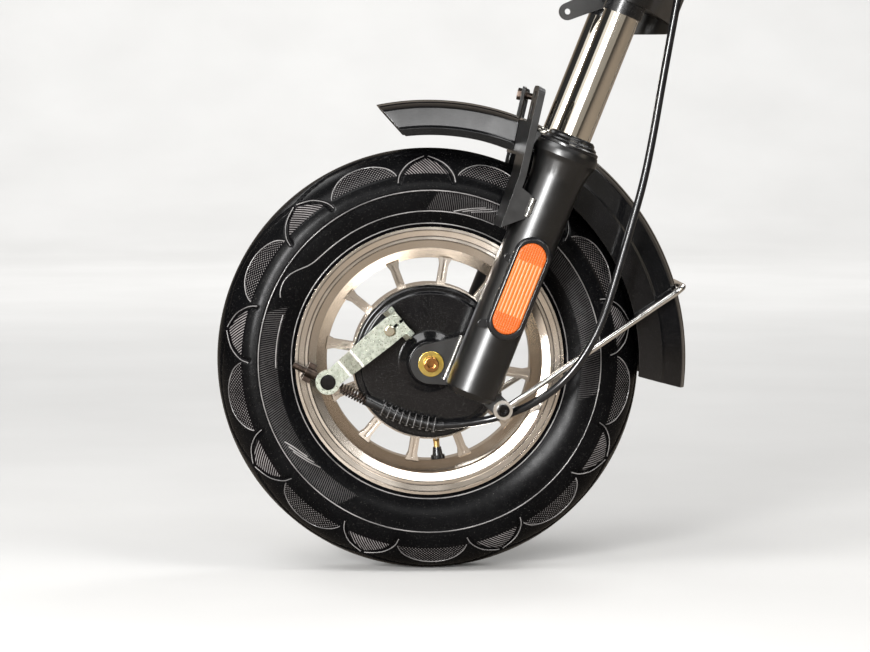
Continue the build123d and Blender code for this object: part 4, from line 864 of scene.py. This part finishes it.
@dataclass
class Tyre:
    """Road tyre with scalloped shoulder blocks, a smooth rib and hatched side crescents.

    Sections are (across, radius) in millimetres, angles run in degrees from straight ahead upwards. Lines on the
    tread are (degrees, rise), where rise is millimetres above the shoulder along the section. A leaf's rows are
    the degrees and radius of a point of its first line, and what each further line adds to them.
    """

    radius: float = 183.0
    shoulder: Pair = (36.0, 161.0)
    wide: Pair = (39.5, 146.0)
    foot: Pair = (33.0, 118.0)
    crown_fall: float = 5.06
    toe: tuple[Pair, ...] = ((27.4, 116.0), (27.4, 101.6), (16.4, 101.6))
    columns: int = 864
    crown_rows: int = 30
    side_rows: int = 26
    cells: int = 9
    small_share: float = 17.3
    phase: float = 0.3
    groove_width: float = 2.4
    groove_depth: float = 1.9
    groove_foot: float = -7.5
    groove_mouth: float = 0.5
    groove_edge: float = 0.9
    groove_end: float = 2.0
    patch_depth: float = 0.55
    patch_foot: float = 0.2
    arch_margin: float = 2.4
    ease: float = 0.8
    edge: float = 1.0
    net_edge: float = 1.2
    toe_rise: float = -90.0
    lip_gap: float = 0.35
    band_shares: Triple = (0.12, 0.5, 0.94)
    rib_inner: float = 146.8
    rib_step: float = 0.7
    swell: Triple = (154.5, 6.0, 0.35)
    crown_groove: Triple = (44.0, 1.9, 1.6)
    line_radii: Pair = (147.0, 118.8)
    crescents: tuple[Pair, ...] = ((298.0, 382.0), (88.0, 196.0))
    crescent_foot: float = 129.5
    crescent_slant: Pair = (130.0, 0.28)
    hatch_radius: float = 160.0
    leaf_leads: Pair = (316.0, 99.0)
    leaf: tuple[tuple[float, ...], ...] = ((0, 130.5, 3.2, 1.2), (5.0, 135.0, 3.4, 1.2), (11.0, 140.2, 2.2, 0.9))
    short_line: Pair = (358.0, 132.0)
    wave: tuple[Pair, ...] = ((115, 129.6), (90, 129.4), (70, 129.4), (52, 129.6), (43, 130.4), (39, 132.4),
                              (36.5, 135.6), (34, 139.2), (31.5, 141.8), (28.5, 142.9), (25.5, 141.6), (23.6, 139.4))

    def __post_init__(self) -> None:
        """Works out the outer section, its rises and the lines of one cell."""
        crown = arc_through((0, self.radius), (self.shoulder[0] / 2, self.radius - self.crown_fall),
                            self.shoulder, self.crown_rows)
        self.cell = 360.0 / self.cells
        self.half = crown + arc_through(self.shoulder, self.wide, self.foot, self.side_rows)[1:]
        lengths = np.cumsum([0.0] + [math.dist(a, b) for a, b in zip(self.half, self.half[1:])])
        self.rises = lengths[self.crown_rows - 1] - lengths
        small = self.small_share
        cross = small / 2 + 0.2
        ahead = self.cell + cross
        self.rising = [(0.2, -6.0), (0.9, 0.0), (2.3, 6.0), (4.6, 13.0), (cross, 21.0), (cross + 5, 26.5),
                       (cross + 11, 30.5), (cross + 17, 31.5), (cross + 23, 30.5), (cross + 29, 27.5),
                       (ahead - 4.5, 24.5), (ahead, 21.0)]
        self.falling = [(small, -6.0), (small - 0.8, 0.0), (small - 2.2, 6.0), (small - 4.4, 13.0), (cross, 21.0)]
        self.dome = [(small + 1.1 + x, y) for x, y in (
            (0, 0.6), (0.6, 4.0), (2.2, 9.5), (5.2, 16.0), (8.6, 19.0), (12.5, 18.6), (16.0, 15.0), (19.0, 9.5),
            (20.6, 4.0), (21.2, 0.6))]

    def reliefs(self, degrees: np.ndarray, rise: np.ndarray, radius: np.ndarray) -> tuple[np.ndarray, np.ndarray]:
        """How far each point is moved outwards, and its three hatch masks.

        Args:
            degrees: Angle of each point.
            rise: Millimetres above the shoulder along the section, below it negative.
            radius: Distance from the axle in millimetres.

        Returns:
            Heights in millimetres, and masks stacked last (net, lines, fine).
        """
        local = (degrees - self.phase) % self.cell
        nearest = np.full(degrees.shape, FAR)
        for line in (self.rising, self.falling):
            for shift in (-self.cell, 0.0, self.cell):
                nearest = np.minimum(nearest, distance_to_line(local - shift, rise, line, np.radians(radius)))
        groove = fade(self.groove_width / 2 + self.groove_mouth - nearest, self.groove_edge)
        groove *= fade(rise - self.groove_foot, self.groove_end)
        block = fade(rise - self.patch_foot, self.ease) * (1 - groove)
        net = fade(height_of(self.dome, local, -FAR, -FAR) - rise, self.net_edge) * block
        arch = np.minimum(height_of(self.rising[:5], local, -FAR, FAR),
                          height_of(self.falling[::-1], local, FAR, -FAR))
        lines = fade(arch - self.arch_margin - rise, self.edge) * block
        fine = np.zeros(degrees.shape)
        for start, end in self.crescents:
            slant = (radius - self.crescent_slant[0]) * self.crescent_slant[1]
            turn = (degrees - start) % 360.0 - slant
            fine = np.maximum(fine, fade(turn, self.edge) * fade(end - start - 2 * slant - turn, self.edge))
        fine *= fade(radius - self.crescent_foot, self.ease) * fade(self.rib_inner - self.ease - radius, self.ease)
        side = rise < 0
        swell_radius, swell_reach, swell_height = self.swell
        groove_rise, groove_half, groove_depth = self.crown_groove
        height = -self.groove_depth * groove - self.patch_depth * np.maximum(net, lines)
        height -= self.rib_step * fade(self.rib_inner - radius, self.edge) * side
        height += swell_height * fade(swell_reach - np.abs(radius - swell_radius), swell_reach) * side
        height -= groove_depth * fade(groove_half - np.abs(groove_rise - rise), self.ease)
        return height, np.stack([net, lines, fine], axis=-1)

    def build(self) -> Thing:
        """Makes the tyre's mesh with its relief and its hatch attributes."""
        half, toe, rises = self.half, list(self.toe), list(self.rises)
        left = half + toe
        rows = np.array(left + [(-y, r) for y, r in reversed(left[1:])])
        rise = np.array([rises + [self.toe_rise] * (2 * len(toe)) + rises[:0:-1]])
        on_left = np.arange(len(rows))[None, :] < len(left)
        ahead = np.roll(rows, -1, axis=0) - np.roll(rows, 1, axis=0)
        outward = np.stack([-ahead[:, 1], ahead[:, 0]], axis=-1)
        outward /= math.copysign(1, outward[0, 1]) * np.linalg.norm(outward, axis=1, keepdims=True)
        degrees = np.arange(self.columns)[:, None] * 360.0 / self.columns
        shifted = np.where(on_left, degrees, degrees + self.cell / 2)
        rise, radius = (np.broadcast_to(row, shifted.shape) for row in (rise, rows[:, 1]))
        height, masks = self.reliefs(shifted, rise, radius)
        live = rise > self.toe_rise
        height = np.where(live, height, 0.0)
        across = rows[:, 0] + outward[:, 0] * height
        away = rows[:, 1] + outward[:, 1] * height
        turn = np.radians(degrees)
        points = np.stack([away * np.cos(turn), across, away * np.sin(turn)], axis=-1).reshape(-1, 3) * MM
        count = len(rows)
        k, c = np.arange(count), np.arange(self.columns)[:, None] * count
        next_k, next_c = (k + 1) % count, (c + count) % (self.columns * count)
        faces = np.stack([c + k, next_c + k, next_c + next_k, c + next_k], axis=-1).reshape(-1, 4)
        mesh = mesh_from("tyre_tread", (points + np.array(DATUM.wheel)).tolist(), faces.tolist())
        place = np.stack([np.radians(shifted) * self.hatch_radius, rise, 0 * rise], axis=-1)
        for label, values in (("tread_place", place), ("tread_mask", np.where(live[..., None], masks, 0.0))):
            attribute = mesh.attributes.new(label, "FLOAT_VECTOR", "POINT")
            attribute.data.foreach_set("vector", np.ascontiguousarray(values, dtype=np.float32).ravel())
        return new_object("tyre_tread", mesh)

    def at(self, degrees: float, radius: float, side: float, proud: float = 0.1) -> Vector:
        """A point on the tyre's side wall, in metres.

        Args:
            degrees: Angle from straight ahead upwards.
            radius: Distance from the axle in millimetres.
            side: 1 for the left wall, -1 for the right.
            proud: Millimetres above the wall.

        Returns:
            The point.
        """
        wall = [(r, y) for y, r in reversed(self.half[self.crown_rows // 2:])]
        across = np.interp(radius, *zip(*wall)) - (self.rib_step if radius < self.rib_inner else 0.0)
        return DATUM.round_wheel(math.radians(degrees), radius, side * (across + proud))

    def side_lines(self) -> list[list[Vector]]:
        """Paths of the thin raised lines of both side walls."""
        lines = [[(k * 3.0, ring) for k in range(121)] for ring in self.line_radii]
        start, ring = self.short_line
        lines += [smoothed(self.wave), [(start + k * 2.0, ring) for k in range(11)]]
        lines += [smoothed([(lead + x + turn * k, r + rise * k) for x, r, turn, rise in self.leaf])
                  for lead in self.leaf_leads for k in range(3)]
        return [[self.at(*spot, side) for spot in line] for side in (1.0, -1.0) for line in lines]

    def block_lines(self) -> list[list[Vector]]:
        """Paths of the thin lips along the shoulder grooves and the netted patches, which wear a painted highlight."""
        rises = self.rises[::-1]
        acrosses, radii = np.array(self.half[::-1]).T

        def spot(degrees: float, rise: float, side: float) -> Vector:
            """A point on the tread's surface."""
            turn = math.radians(degrees + self.phase - (0.0 if side > 0 else self.cell / 2))
            return DATUM.round_wheel(turn, np.interp(rise, rises, radii), side * np.interp(rise, rises, acrosses))

        offset = (self.groove_width / 2 + self.lip_gap) / math.radians(self.shoulder[1])
        lips = [[(x + shift, y) for x, y in smoothed(line)] for line, shift in (
            (self.rising[:5], -offset), (self.falling, offset), (self.dome, 0.0))]
        return [[spot(number * self.cell + x, y, side) for x, y in lip]
                for side in (1.0, -1.0) for number in range(self.cells) for lip in lips]

    def shoulder_band(self, steps: int = 120, sink: float = 0.2) -> Thing:
        """Two bands just inside the tread on each side, from which its moulding whiskers grow.

        Args:
            steps: Flats round each band.
            sink: Millimetres that it lies under the surface.

        Returns:
            The bands as one object.
        """
        rings = [self.half[int(share * (self.crown_rows - 1))] for share in self.band_shares]
        points, faces = [], []
        for side in (1.0, -1.0):
            base = len(points)
            points += [DATUM.round_wheel(math.tau * step / steps, r - sink, side * y)
                       for step in range(steps) for y, r in rings]
            for a, b in ((base + 3 * step + k, base + 3 * ((step + 1) % steps) + k)
                         for step in range(steps) for k in (0, 1)):
                faces.append((a, b, b + 1, a + 1) if side > 0 else (a + 1, b + 1, b, a))
        return new_object("whisker_band", mesh_from("whisker_band", points, faces))


@dataclass
class WheelSet:
    """The wheel's body: tyre, cast wheel and valve cap, in millimetres and degrees."""

    wardrobe: Wardrobe
    tyre: Tyre
    knurl_ribs: int = 18
    cap_radius: float = 2.6
    cap_length: float = 4.4
    valve_angle: float = 264.4
    valve_across: float = 3.0
    valve_top: float = 72.2
    rib_size: Pair = (0.5, 0.45)
    line_width: float = 0.55
    lip_width: float = 0.5
    whiskers_per_m2: float = 2200.0
    whisker_seed: int = 11
    whisker_size: Triple = (3.4, 0.45, 0.22)

    def build(self) -> None:
        """Makes and dresses every piece that turns."""
        dress = self.wardrobe
        dress.wear(self.tyre.build(), Slot.TYRE, "wheel", ("tyre",))
        lines = bead_tree()
        # The raised lines and the groove lips wear the painted edge highlight.
        for name, paths, width, sides in (("tyre_lines", self.tyre.side_lines(), self.line_width, 6),
                                          ("tread_lips", self.tyre.block_lines(), self.lip_width, 5)):
            dress.grow(name, lines, {"Width": width * MM, "Sides": sides}, Slot.TYRE, "wheel",
                       source=curve_object(name + "_paths", paths), finish=dress.moulded_edge)
        length, foot, tip = (size * MM for size in self.whisker_size)
        dress.grow("tyre_whiskers", whisker_tree(), {
            "Density": self.whiskers_per_m2, "Seed": self.whisker_seed, "Length": length, "Foot Radius": foot,
            "Tip Radius": tip,
        }, Slot.TYRE, "wheel", source=self.tyre.shoulder_band(), finish=dress.materials[Slot.RUBBER])
        dress.soften("wheel_casting", body="wheel")
        turn = math.radians(self.valve_angle)
        centre = DATUM.round_wheel(turn, self.valve_top - self.cap_length / 2, self.valve_across)
        dress.grow("valve_knurl", round_tree(), {
            "Count": self.knurl_ribs, "Radius": self.cap_radius * MM,
            "Size": tuple(size * MM for size in (*self.rib_size, self.cap_length)),
        }, Slot.BRASS, "wheel", turn_to(centre, Vector((math.cos(turn), 0, math.sin(turn)))))


@dataclass
class DrumBrake:
    """The brake plate, its arm with the pinch bolt, and the threaded end of the cable, in millimetres."""

    wardrobe: Wardrobe
    arm_length: float = 68.8
    arm_inner: float = 48.5
    arm_step: float = 4.0
    gap: float = 0.3
    pin_radius: float = 6.5
    rod_radius: float = 2.6
    rod_pitch: float = 1.0
    rod_length: float = 33.0
    rod_bevel: float = 1.2
    thread_sink: float = 0.06
    thread_wire: float = 0.3
    boot_corners: tuple[Triple, ...] = (
        (54.8, 41.5, -32.4), (40.3, 42.5, -39.6), (25.8, 43.5, -46.2), (10.5, 44.5, -50.8), (-6.6, 45.9, -53.9),
        (-12.0, 46.4, -53.7))
    boot_ribs: int = 9
    boot_rib_radius: float = 6.3
    boot_rib_width: float = 0.32
    boot_ribbed: Pair = (0.23, 0.88)
    spring_radius: float = 4.3
    spring_taper: float = 0.3
    spring_wire: float = 0.7
    spring_turns: float = 9.0
    spring_ends: Pair = (0.4, 11.8)

    def build(self) -> None:
        """Makes and dresses the brake's fixed pieces."""
        dress = self.wardrobe
        dress.soften("brake_plate", "brake_arm")
        dress.soften("brake_cam_shaft", finish=dress.gold)
        dress.soften("arm_pinch_bolt")
        dress.soften("swivel_pin", finish=dress.oxide)
        dress.soften("wing_nut")
        boot = [DATUM.on_wheel(*corner) for corner in self.boot_corners]
        across = self.arm_inner - self.arm_step - self.gap - self.rod_radius
        eye = DATUM.on_wheel(CAM[0] + self.arm_length * math.cos(ARM_FALL), across,
                             CAM[1] - self.arm_length * math.sin(ARM_FALL))
        along = (eye - boot[0]).normalized()
        coil = coil_tree()
        start = boot[0] + along * self.spring_ends[0] * MM
        dress.grow("arm_spring_coil", coil, {
            "Turns": self.spring_turns, "Start Radius": self.spring_radius * MM,
            "End Radius": (self.spring_radius - self.spring_taper) * MM,
            "Height": (eye - start).length - self.spring_ends[1] * MM,
            "Wire Radius": self.spring_wire * MM, "Sides": 8, "Steps": 26,
        }, Slot.DARK_STEEL, place=turn_to(start, along), replaced=("arm_return_spring",))
        dress.soften("cable_boot")
        # The boot's rib edges wear the painted edge highlight.
        dress.grow("boot_rib_edges", ring_tree(), {
            "Start": self.boot_ribbed[0], "End": self.boot_ribbed[1], "Count": self.boot_ribs,
            "Ring Radius": self.boot_rib_radius * MM, "Width": self.boot_rib_width * MM,
        }, Slot.RUBBER, source=curve_object("boot_route", [boot]), finish=dress.moulded_edge)
        length = self.rod_length - self.pin_radius - self.rod_bevel
        radius = (self.rod_radius - self.thread_sink) * MM
        dress.grow("rod_thread", coil, {
            "Turns": length / self.rod_pitch, "Start Radius": radius, "End Radius": radius, "Height": length * MM,
            "Wire Radius": self.thread_wire * MM, "Sides": 5, "Steps": 18,
        }, Slot.DARK_STEEL, place=turn_to(eye + along * self.pin_radius * MM, along))


@dataclass
class CableRun:
    """The brake cable from its boot up to the guide on the yoke and its fitting."""

    wardrobe: Wardrobe
    diameter: float = 6.8
    order: int = 3
    steps: int = 10
    round_steps: int = 5
    corners: tuple[Triple, ...] = (
        (-12.0, 46.4, -53.7), (-23.88, 47.5, -53.26), (-37, 48.7, -51.2), (-49.1, 50, -49), (-62.6, 53, -44.8),
        (-75.9, 58.5, -39.5), (-88.2, 64.5, -32.6), (-99.7, 70, -24.6), (-110.4, 73.5, -15.1), (-121.3, 75.2, -3),
        (-131.4, 75.2, 11.4), (-142.1, 73.6, 30.9), (-151.3, 69.5, 55.6), (-161.3, 65.5, 88),
        (-171.5, 61.4, 122.2), (-181.1, 58, 155.2), (-189.1, 54.5, 193.3), (-195.9, 52, 232.3), (-202, 50.4, 266),
        (-207.6, 49.6, 296.1), (-215.2, 47.6, 337.2))
    cut_corners: float = 0.997

    def build(self) -> None:
        places = [DATUM.on_wheel(*corner) for corner in self.corners]
        cable = curve_object("brake_cable_run", [places], "NURBS")
        cable.data.resolution_u = self.steps
        cable.data.bevel_depth = self.diameter / 2 * MM
        cable.data.bevel_resolution = self.round_steps
        cable.data.use_fill_caps = True
        spline = cable.data.splines[0]
        spline.order_u = self.order
        spline.use_endpoint_u = True
        self.wardrobe.wear(cable, Slot.SHEATH, "fork", ("brake_cable",))


@dataclass
class ForkLegs:
    """Both lower legs with seals, reflectors and the beads that weld dropouts and lugs on, in millimetres."""

    wardrobe: Wardrobe
    weld_radius: float = 2.4
    ripple_height: float = 0.7
    ripple_pitch: float = 2.6
    dropout_seat: Pair = (23.8, 58.4)
    dropout_seam: tuple[float, ...] = (32.0, 22.0, 12.0, 2.0, -8.0)
    lug_seat: Pair = (12.9, 87.4)
    lug_seam: tuple[float, ...] = (146.5, 152.0, 158.0, 163.0)

    def build(self) -> None:
        """Makes and dresses the legs."""
        dress = self.wardrobe
        beads = bead_tree()
        for side_name, side in (("left", 1.0), ("right", -1.0)):
            dress.soften(*(f"{kind}_{side_name}" for kind in (
                "lower_leg", "dust_seal", "reflector_housing", "reflector_lens")))
            dress.soften(f"stay_screw_{side_name}", finish=dress.oxide)
            for kind, (ahead, across), ups in (("dropout", self.dropout_seat, self.dropout_seam),
                                               ("lug", self.lug_seat, self.lug_seam)):
                name = f"{kind}_weld_{side_name}"
                path = [DATUM.on_fork(ahead, side * across, up) for up in ups]
                # The beads wear the painted weld highlight.
                bead = dress.grow(name, beads, {"Width": self.weld_radius * MM, "Sides": 10}, Slot.SATIN_BLACK,
                                  source=curve_object(name + "_path", [path]), finish=dress.weld_bead)
                self.ripple(bead.data, path)

    def ripple(self, mesh: Mesh, path: Sequence[Vector]) -> None:
        """Gives a bead the overlapping ripples of a weld.

        Args:
            mesh: The bead's mesh, changed in place.
            path: The line it follows.
        """
        for vertex in mesh.vertices:
            best, foot, along, run = 1.0, path[0], 0.0, 0.0
            for a, b in zip(path, path[1:]):
                step = b - a
                share = min(max((vertex.co - a).dot(step) / step.length_squared, 0.0), 1.0)
                spot = a + step * share
                if (vertex.co - spot).length < best:
                    best, foot, along = (vertex.co - spot).length, spot, run + share * step.length
                run += step.length
            if best > 1e-6:
                rise = self.ripple_height * MM * math.sin(math.tau * along / (self.ripple_pitch * MM))
                vertex.co += (vertex.co - foot).normalized() * rise


@dataclass
class Crown:
    """The yoke with its steerer, the bridge over the tyre and the left-over body bolt, in millimetres."""

    wardrobe: Wardrobe
    steerer_setback: float = 32.0
    thread_bottom: float = 528.0
    thread_length: float = 35.0
    thread_radius: float = 14.0
    thread_pitch: float = 1.25
    thread_wire: float = 0.42
    end_gap: float = 0.6

    def build(self) -> None:
        """Makes and dresses the crown."""
        self.wardrobe.soften("yoke", "fork_bridge", "ear_bolt", "cable_guide")
        base = DATUM.on_fork(-self.steerer_setback, 0, self.thread_bottom + self.end_gap)
        self.wardrobe.grow("steerer_thread", coil_tree(), {
            "Turns": self.thread_length / self.thread_pitch, "Start Radius": self.thread_radius * MM,
            "End Radius": self.thread_radius * MM, "Height": (self.thread_length - self.end_gap) * MM,
            "Wire Radius": self.thread_wire * MM, "Sides": 5, "Steps": 48,
        }, Slot.BRIGHT_STEEL, place=turn_to(base, DATUM.up_legs))


@dataclass
class RoundedPieces:
    """Pieces that need no more than rounded edges."""

    wardrobe: Wardrobe
    nodes: tuple[str, ...]

    def build(self) -> None:
        """Makes and dresses the pieces."""
        self.wardrobe.soften(*self.nodes)


WARM_LOSS = (0.0, 0.12, 0.3)
"""How much red, green and blue a warm lamp lacks."""


@dataclass(frozen=True)
class Lamp:
    """A soft rectangular lamp, placed and aimed in metres from the wheel's centre.

    Its power is in watts, and its warmth runs from 0, white, to 1, warm.
    """

    name: str
    place: Triple
    size: Pair
    power: float
    warmth: float = 0.0
    target: Triple = (0, 0, 0.1)

    def build(self) -> None:
        """Hangs the lamp."""
        data = bpy.data.lights.new(self.name, "AREA")
        data.shape = "RECTANGLE"
        data.size, data.size_y = self.size
        data.energy = self.power
        data.color = [1.0 - loss * self.warmth for loss in WARM_LOSS]
        place, target = Vector(self.place), Vector(self.target)
        new_object(self.name, data).matrix_world = turn_to(DATUM.wheel + place, place - target, Vector((1, 0, 0)))


LAMPS = (
    Lamp("key_softbox", (0.97, 2.08, 0.49), (0.45, 0.9), 105.0),
    Lamp("side_panel", (1.86, 1.04, 0.97), (1.5, 1.2), 5.0, 0.3),
    Lamp("sky_panel", (1.35, 1.72, 0.62), (2.0, 1.3), 8.0, 0.3),
    Lamp("camera_panel", (-0.35, 3.3, 0.8), (2.4, 1.6), 3.8, 0.6),
    Lamp("top_softbox", (1.05, 0.95, 1.95), (1.3, 1.0), 34.0),
    Lamp("rear_softbox", (-1.1, 0.9, 1.7), (1.0, 0.8), 22.0),
    Lamp("edge_softbox", (-2.0, 0.6, 0.8), (0.4, 1.4), 5.0, 1.0),
    Lamp("front_edge_softbox", (1.2, -1.2, 1.7), (0.8, 0.8), 12.0),
    Lamp("rear_edge_softbox", (-1.2, -1.2, 1.7), (0.8, 0.8), 18.0),
    Lamp("guard_card", (-0.23, 2.53, 0.91), (0.9, 0.5), 9.0, target=(-0.02, 0.035, 0.2)),
    Lamp("backdrop_lamp", (0.0, -3.2, 3.6), (7.0, 1.6), 420.0, target=(0, -6.9, 0.4)),
)


@dataclass
class Studio:
    """The floor, the lamps and the camera at the photograph's angle, in metres and pixels."""

    image: tuple[int, int] = (870, 652)
    camera_side: float = 0.0435
    camera_rise: float = 0.087
    distance: float = 2.609
    focal_pixels: float = 3000.0
    wheel_pixel: Pair = (428.0, 358.0)
    sensor: float = 36.0
    clip_end: float = 50.0
    tyre_radius: float = 0.183
    floor_back: float = 5.2
    sweep_radius: float = 2.2
    sweep_steps: int = 24
    floor_half: float = 9.0
    floor_colours: tuple[Triple, Triple] = ((0.47, 0.465, 0.455), (0.5, 0.495, 0.485))
    floor_in_gloss: Triple = (0.2, 0.17, 0.14)
    floor_lumps: float = 3.0
    floor_roughness: float = 0.85
    floor_specular: float = 0.1
    sky: Triple = (0.80, 0.83, 0.88)
    sky_strength: float = 0.3
    sky_strength_in_gloss: float = 0.04
    backdrop: Triple = (0.86, 0.86, 0.85)

    def place_camera(self) -> None:
        """Makes the camera so that the wheel's centre lands where the photograph shows it."""
        depth = math.sqrt(1 - self.camera_side ** 2 - self.camera_rise ** 2)
        away = Vector((self.camera_side, depth, self.camera_rise))
        spot = DATUM.wheel + away * self.distance
        toward = -away.normalized()
        right = toward.cross(UP).normalized()
        above = right.cross(toward)
        width, height = self.image
        x_share, y_share = ((pixel - size / 2) / self.focal_pixels for pixel, size in zip(self.wheel_pixel, self.image))
        look = (toward - right * x_share + above * y_share).normalized()
        right = look.cross(UP).normalized()
        data = bpy.data.cameras.new("photo_camera")
        data.sensor_width = self.sensor
        data.lens = self.focal_pixels / width * self.sensor
        data.clip_end = self.clip_end
        camera = new_object("photo_camera", data)
        camera.matrix_world = Matrix.Translation(spot) @ Matrix((right, right.cross(look), -look)).transposed().to_4x4()
        bpy.context.scene.camera = camera

    def lay_floor(self) -> None:
        """Makes the pale floor, which sweeps up to a wall behind the part and is painted dark brown in reflections."""
        sweep = [(self.floor_half, 0.0), (-self.floor_back, 0.0)]
        for turn in (math.pi / 2 * step / self.sweep_steps for step in range(1, self.sweep_steps + 1)):
            sweep.append((-self.floor_back - self.sweep_radius * math.sin(turn),
                          self.sweep_radius * (1 - math.cos(turn))))
        sweep.append((sweep[-1][0], self.floor_half))
        centre = DATUM.wheel - Vector((0, 0, self.tyre_radius))
        points = [centre + Vector((side, y, z)) for y, z in sweep for side in (self.floor_half, -self.floor_half)]
        faces = [(2 * k + 2, 2 * k + 3, 2 * k + 1, 2 * k) for k in range(len(sweep) - 1)]
        mesh = mesh_from("studio_floor", points, faces)
        sheet = NodeSheet("pale_floor")
        path = sheet.add("ShaderNodeLightPath")
        shade = sheet.blend(sheet.ramp(sheet.noise(self.floor_lumps), *NOISE_RANGE), *self.floor_colours)
        # Painted reflection: reflections see the floor dark brown, darker than it looks to the camera.
        shade = sheet.blend(path.outputs["Is Glossy Ray"], shade, self.floor_in_gloss)
        sheet.give({"Base Color": shade, "Roughness": self.floor_roughness,
                    "Specular IOR Level": self.floor_specular})
        mesh.materials.append(sheet.material)
        new_object("studio_floor", mesh)

    def hang_sky(self) -> None:
        """Makes the world: pale to the camera, dim to other rays and dimmer still in reflections."""
        world = bpy.data.worlds.new("studio_light")
        world.use_nodes = True
        bpy.context.scene.world = world
        sky = NodeMaker(world.node_tree)
        path = sky.add("ShaderNodeLightPath").outputs
        dim = sky.add("ShaderNodeMapRange", {
            "Value": path["Is Glossy Ray"], "To Min": self.sky_strength, "To Max": self.sky_strength_in_gloss})
        plain = sky.fill(sky.tree.nodes["Background"], {"Color": (*self.sky, 1), "Strength": dim})
        seen = sky.add("ShaderNodeBackground", {"Color": (*self.backdrop, 1)})
        mix = sky.add("ShaderNodeMixShader", {0: path["Is Camera Ray"], 1: plain, 2: seen})
        sky.fill(sky.tree.nodes["World Output"], {"Surface": mix})

    def build(self) -> None:
        """Makes the floor, world, lamps and camera."""
        self.lay_floor()
        self.hang_sky()
        for lamp in LAMPS:
            lamp.build()
        bpy.context.scene.view_settings.view_transform = "Standard"
        self.place_camera()


def main() -> None:
    """Builds every sub-assembly in order."""
    logging.basicConfig(level=logging.INFO, format="%(name)s: %(message)s")
    wardrobe = Wardrobe()
    wardrobe.dress_nodes()
    for assembly in (
            Studio(), CableRun(wardrobe), WheelSet(wardrobe, Tyre()), DrumBrake(wardrobe),
            RoundedPieces(wardrobe, ("axle", "axle_nut", "axle_washer_left", "axle_washer_right")),
            ForkLegs(wardrobe), Crown(wardrobe),
            RoundedPieces(wardrobe, ("mudguard_front", "mudguard_rear", "mudguard_stay"))):
        assembly.build()


if __name__ == "__main__":
    main()
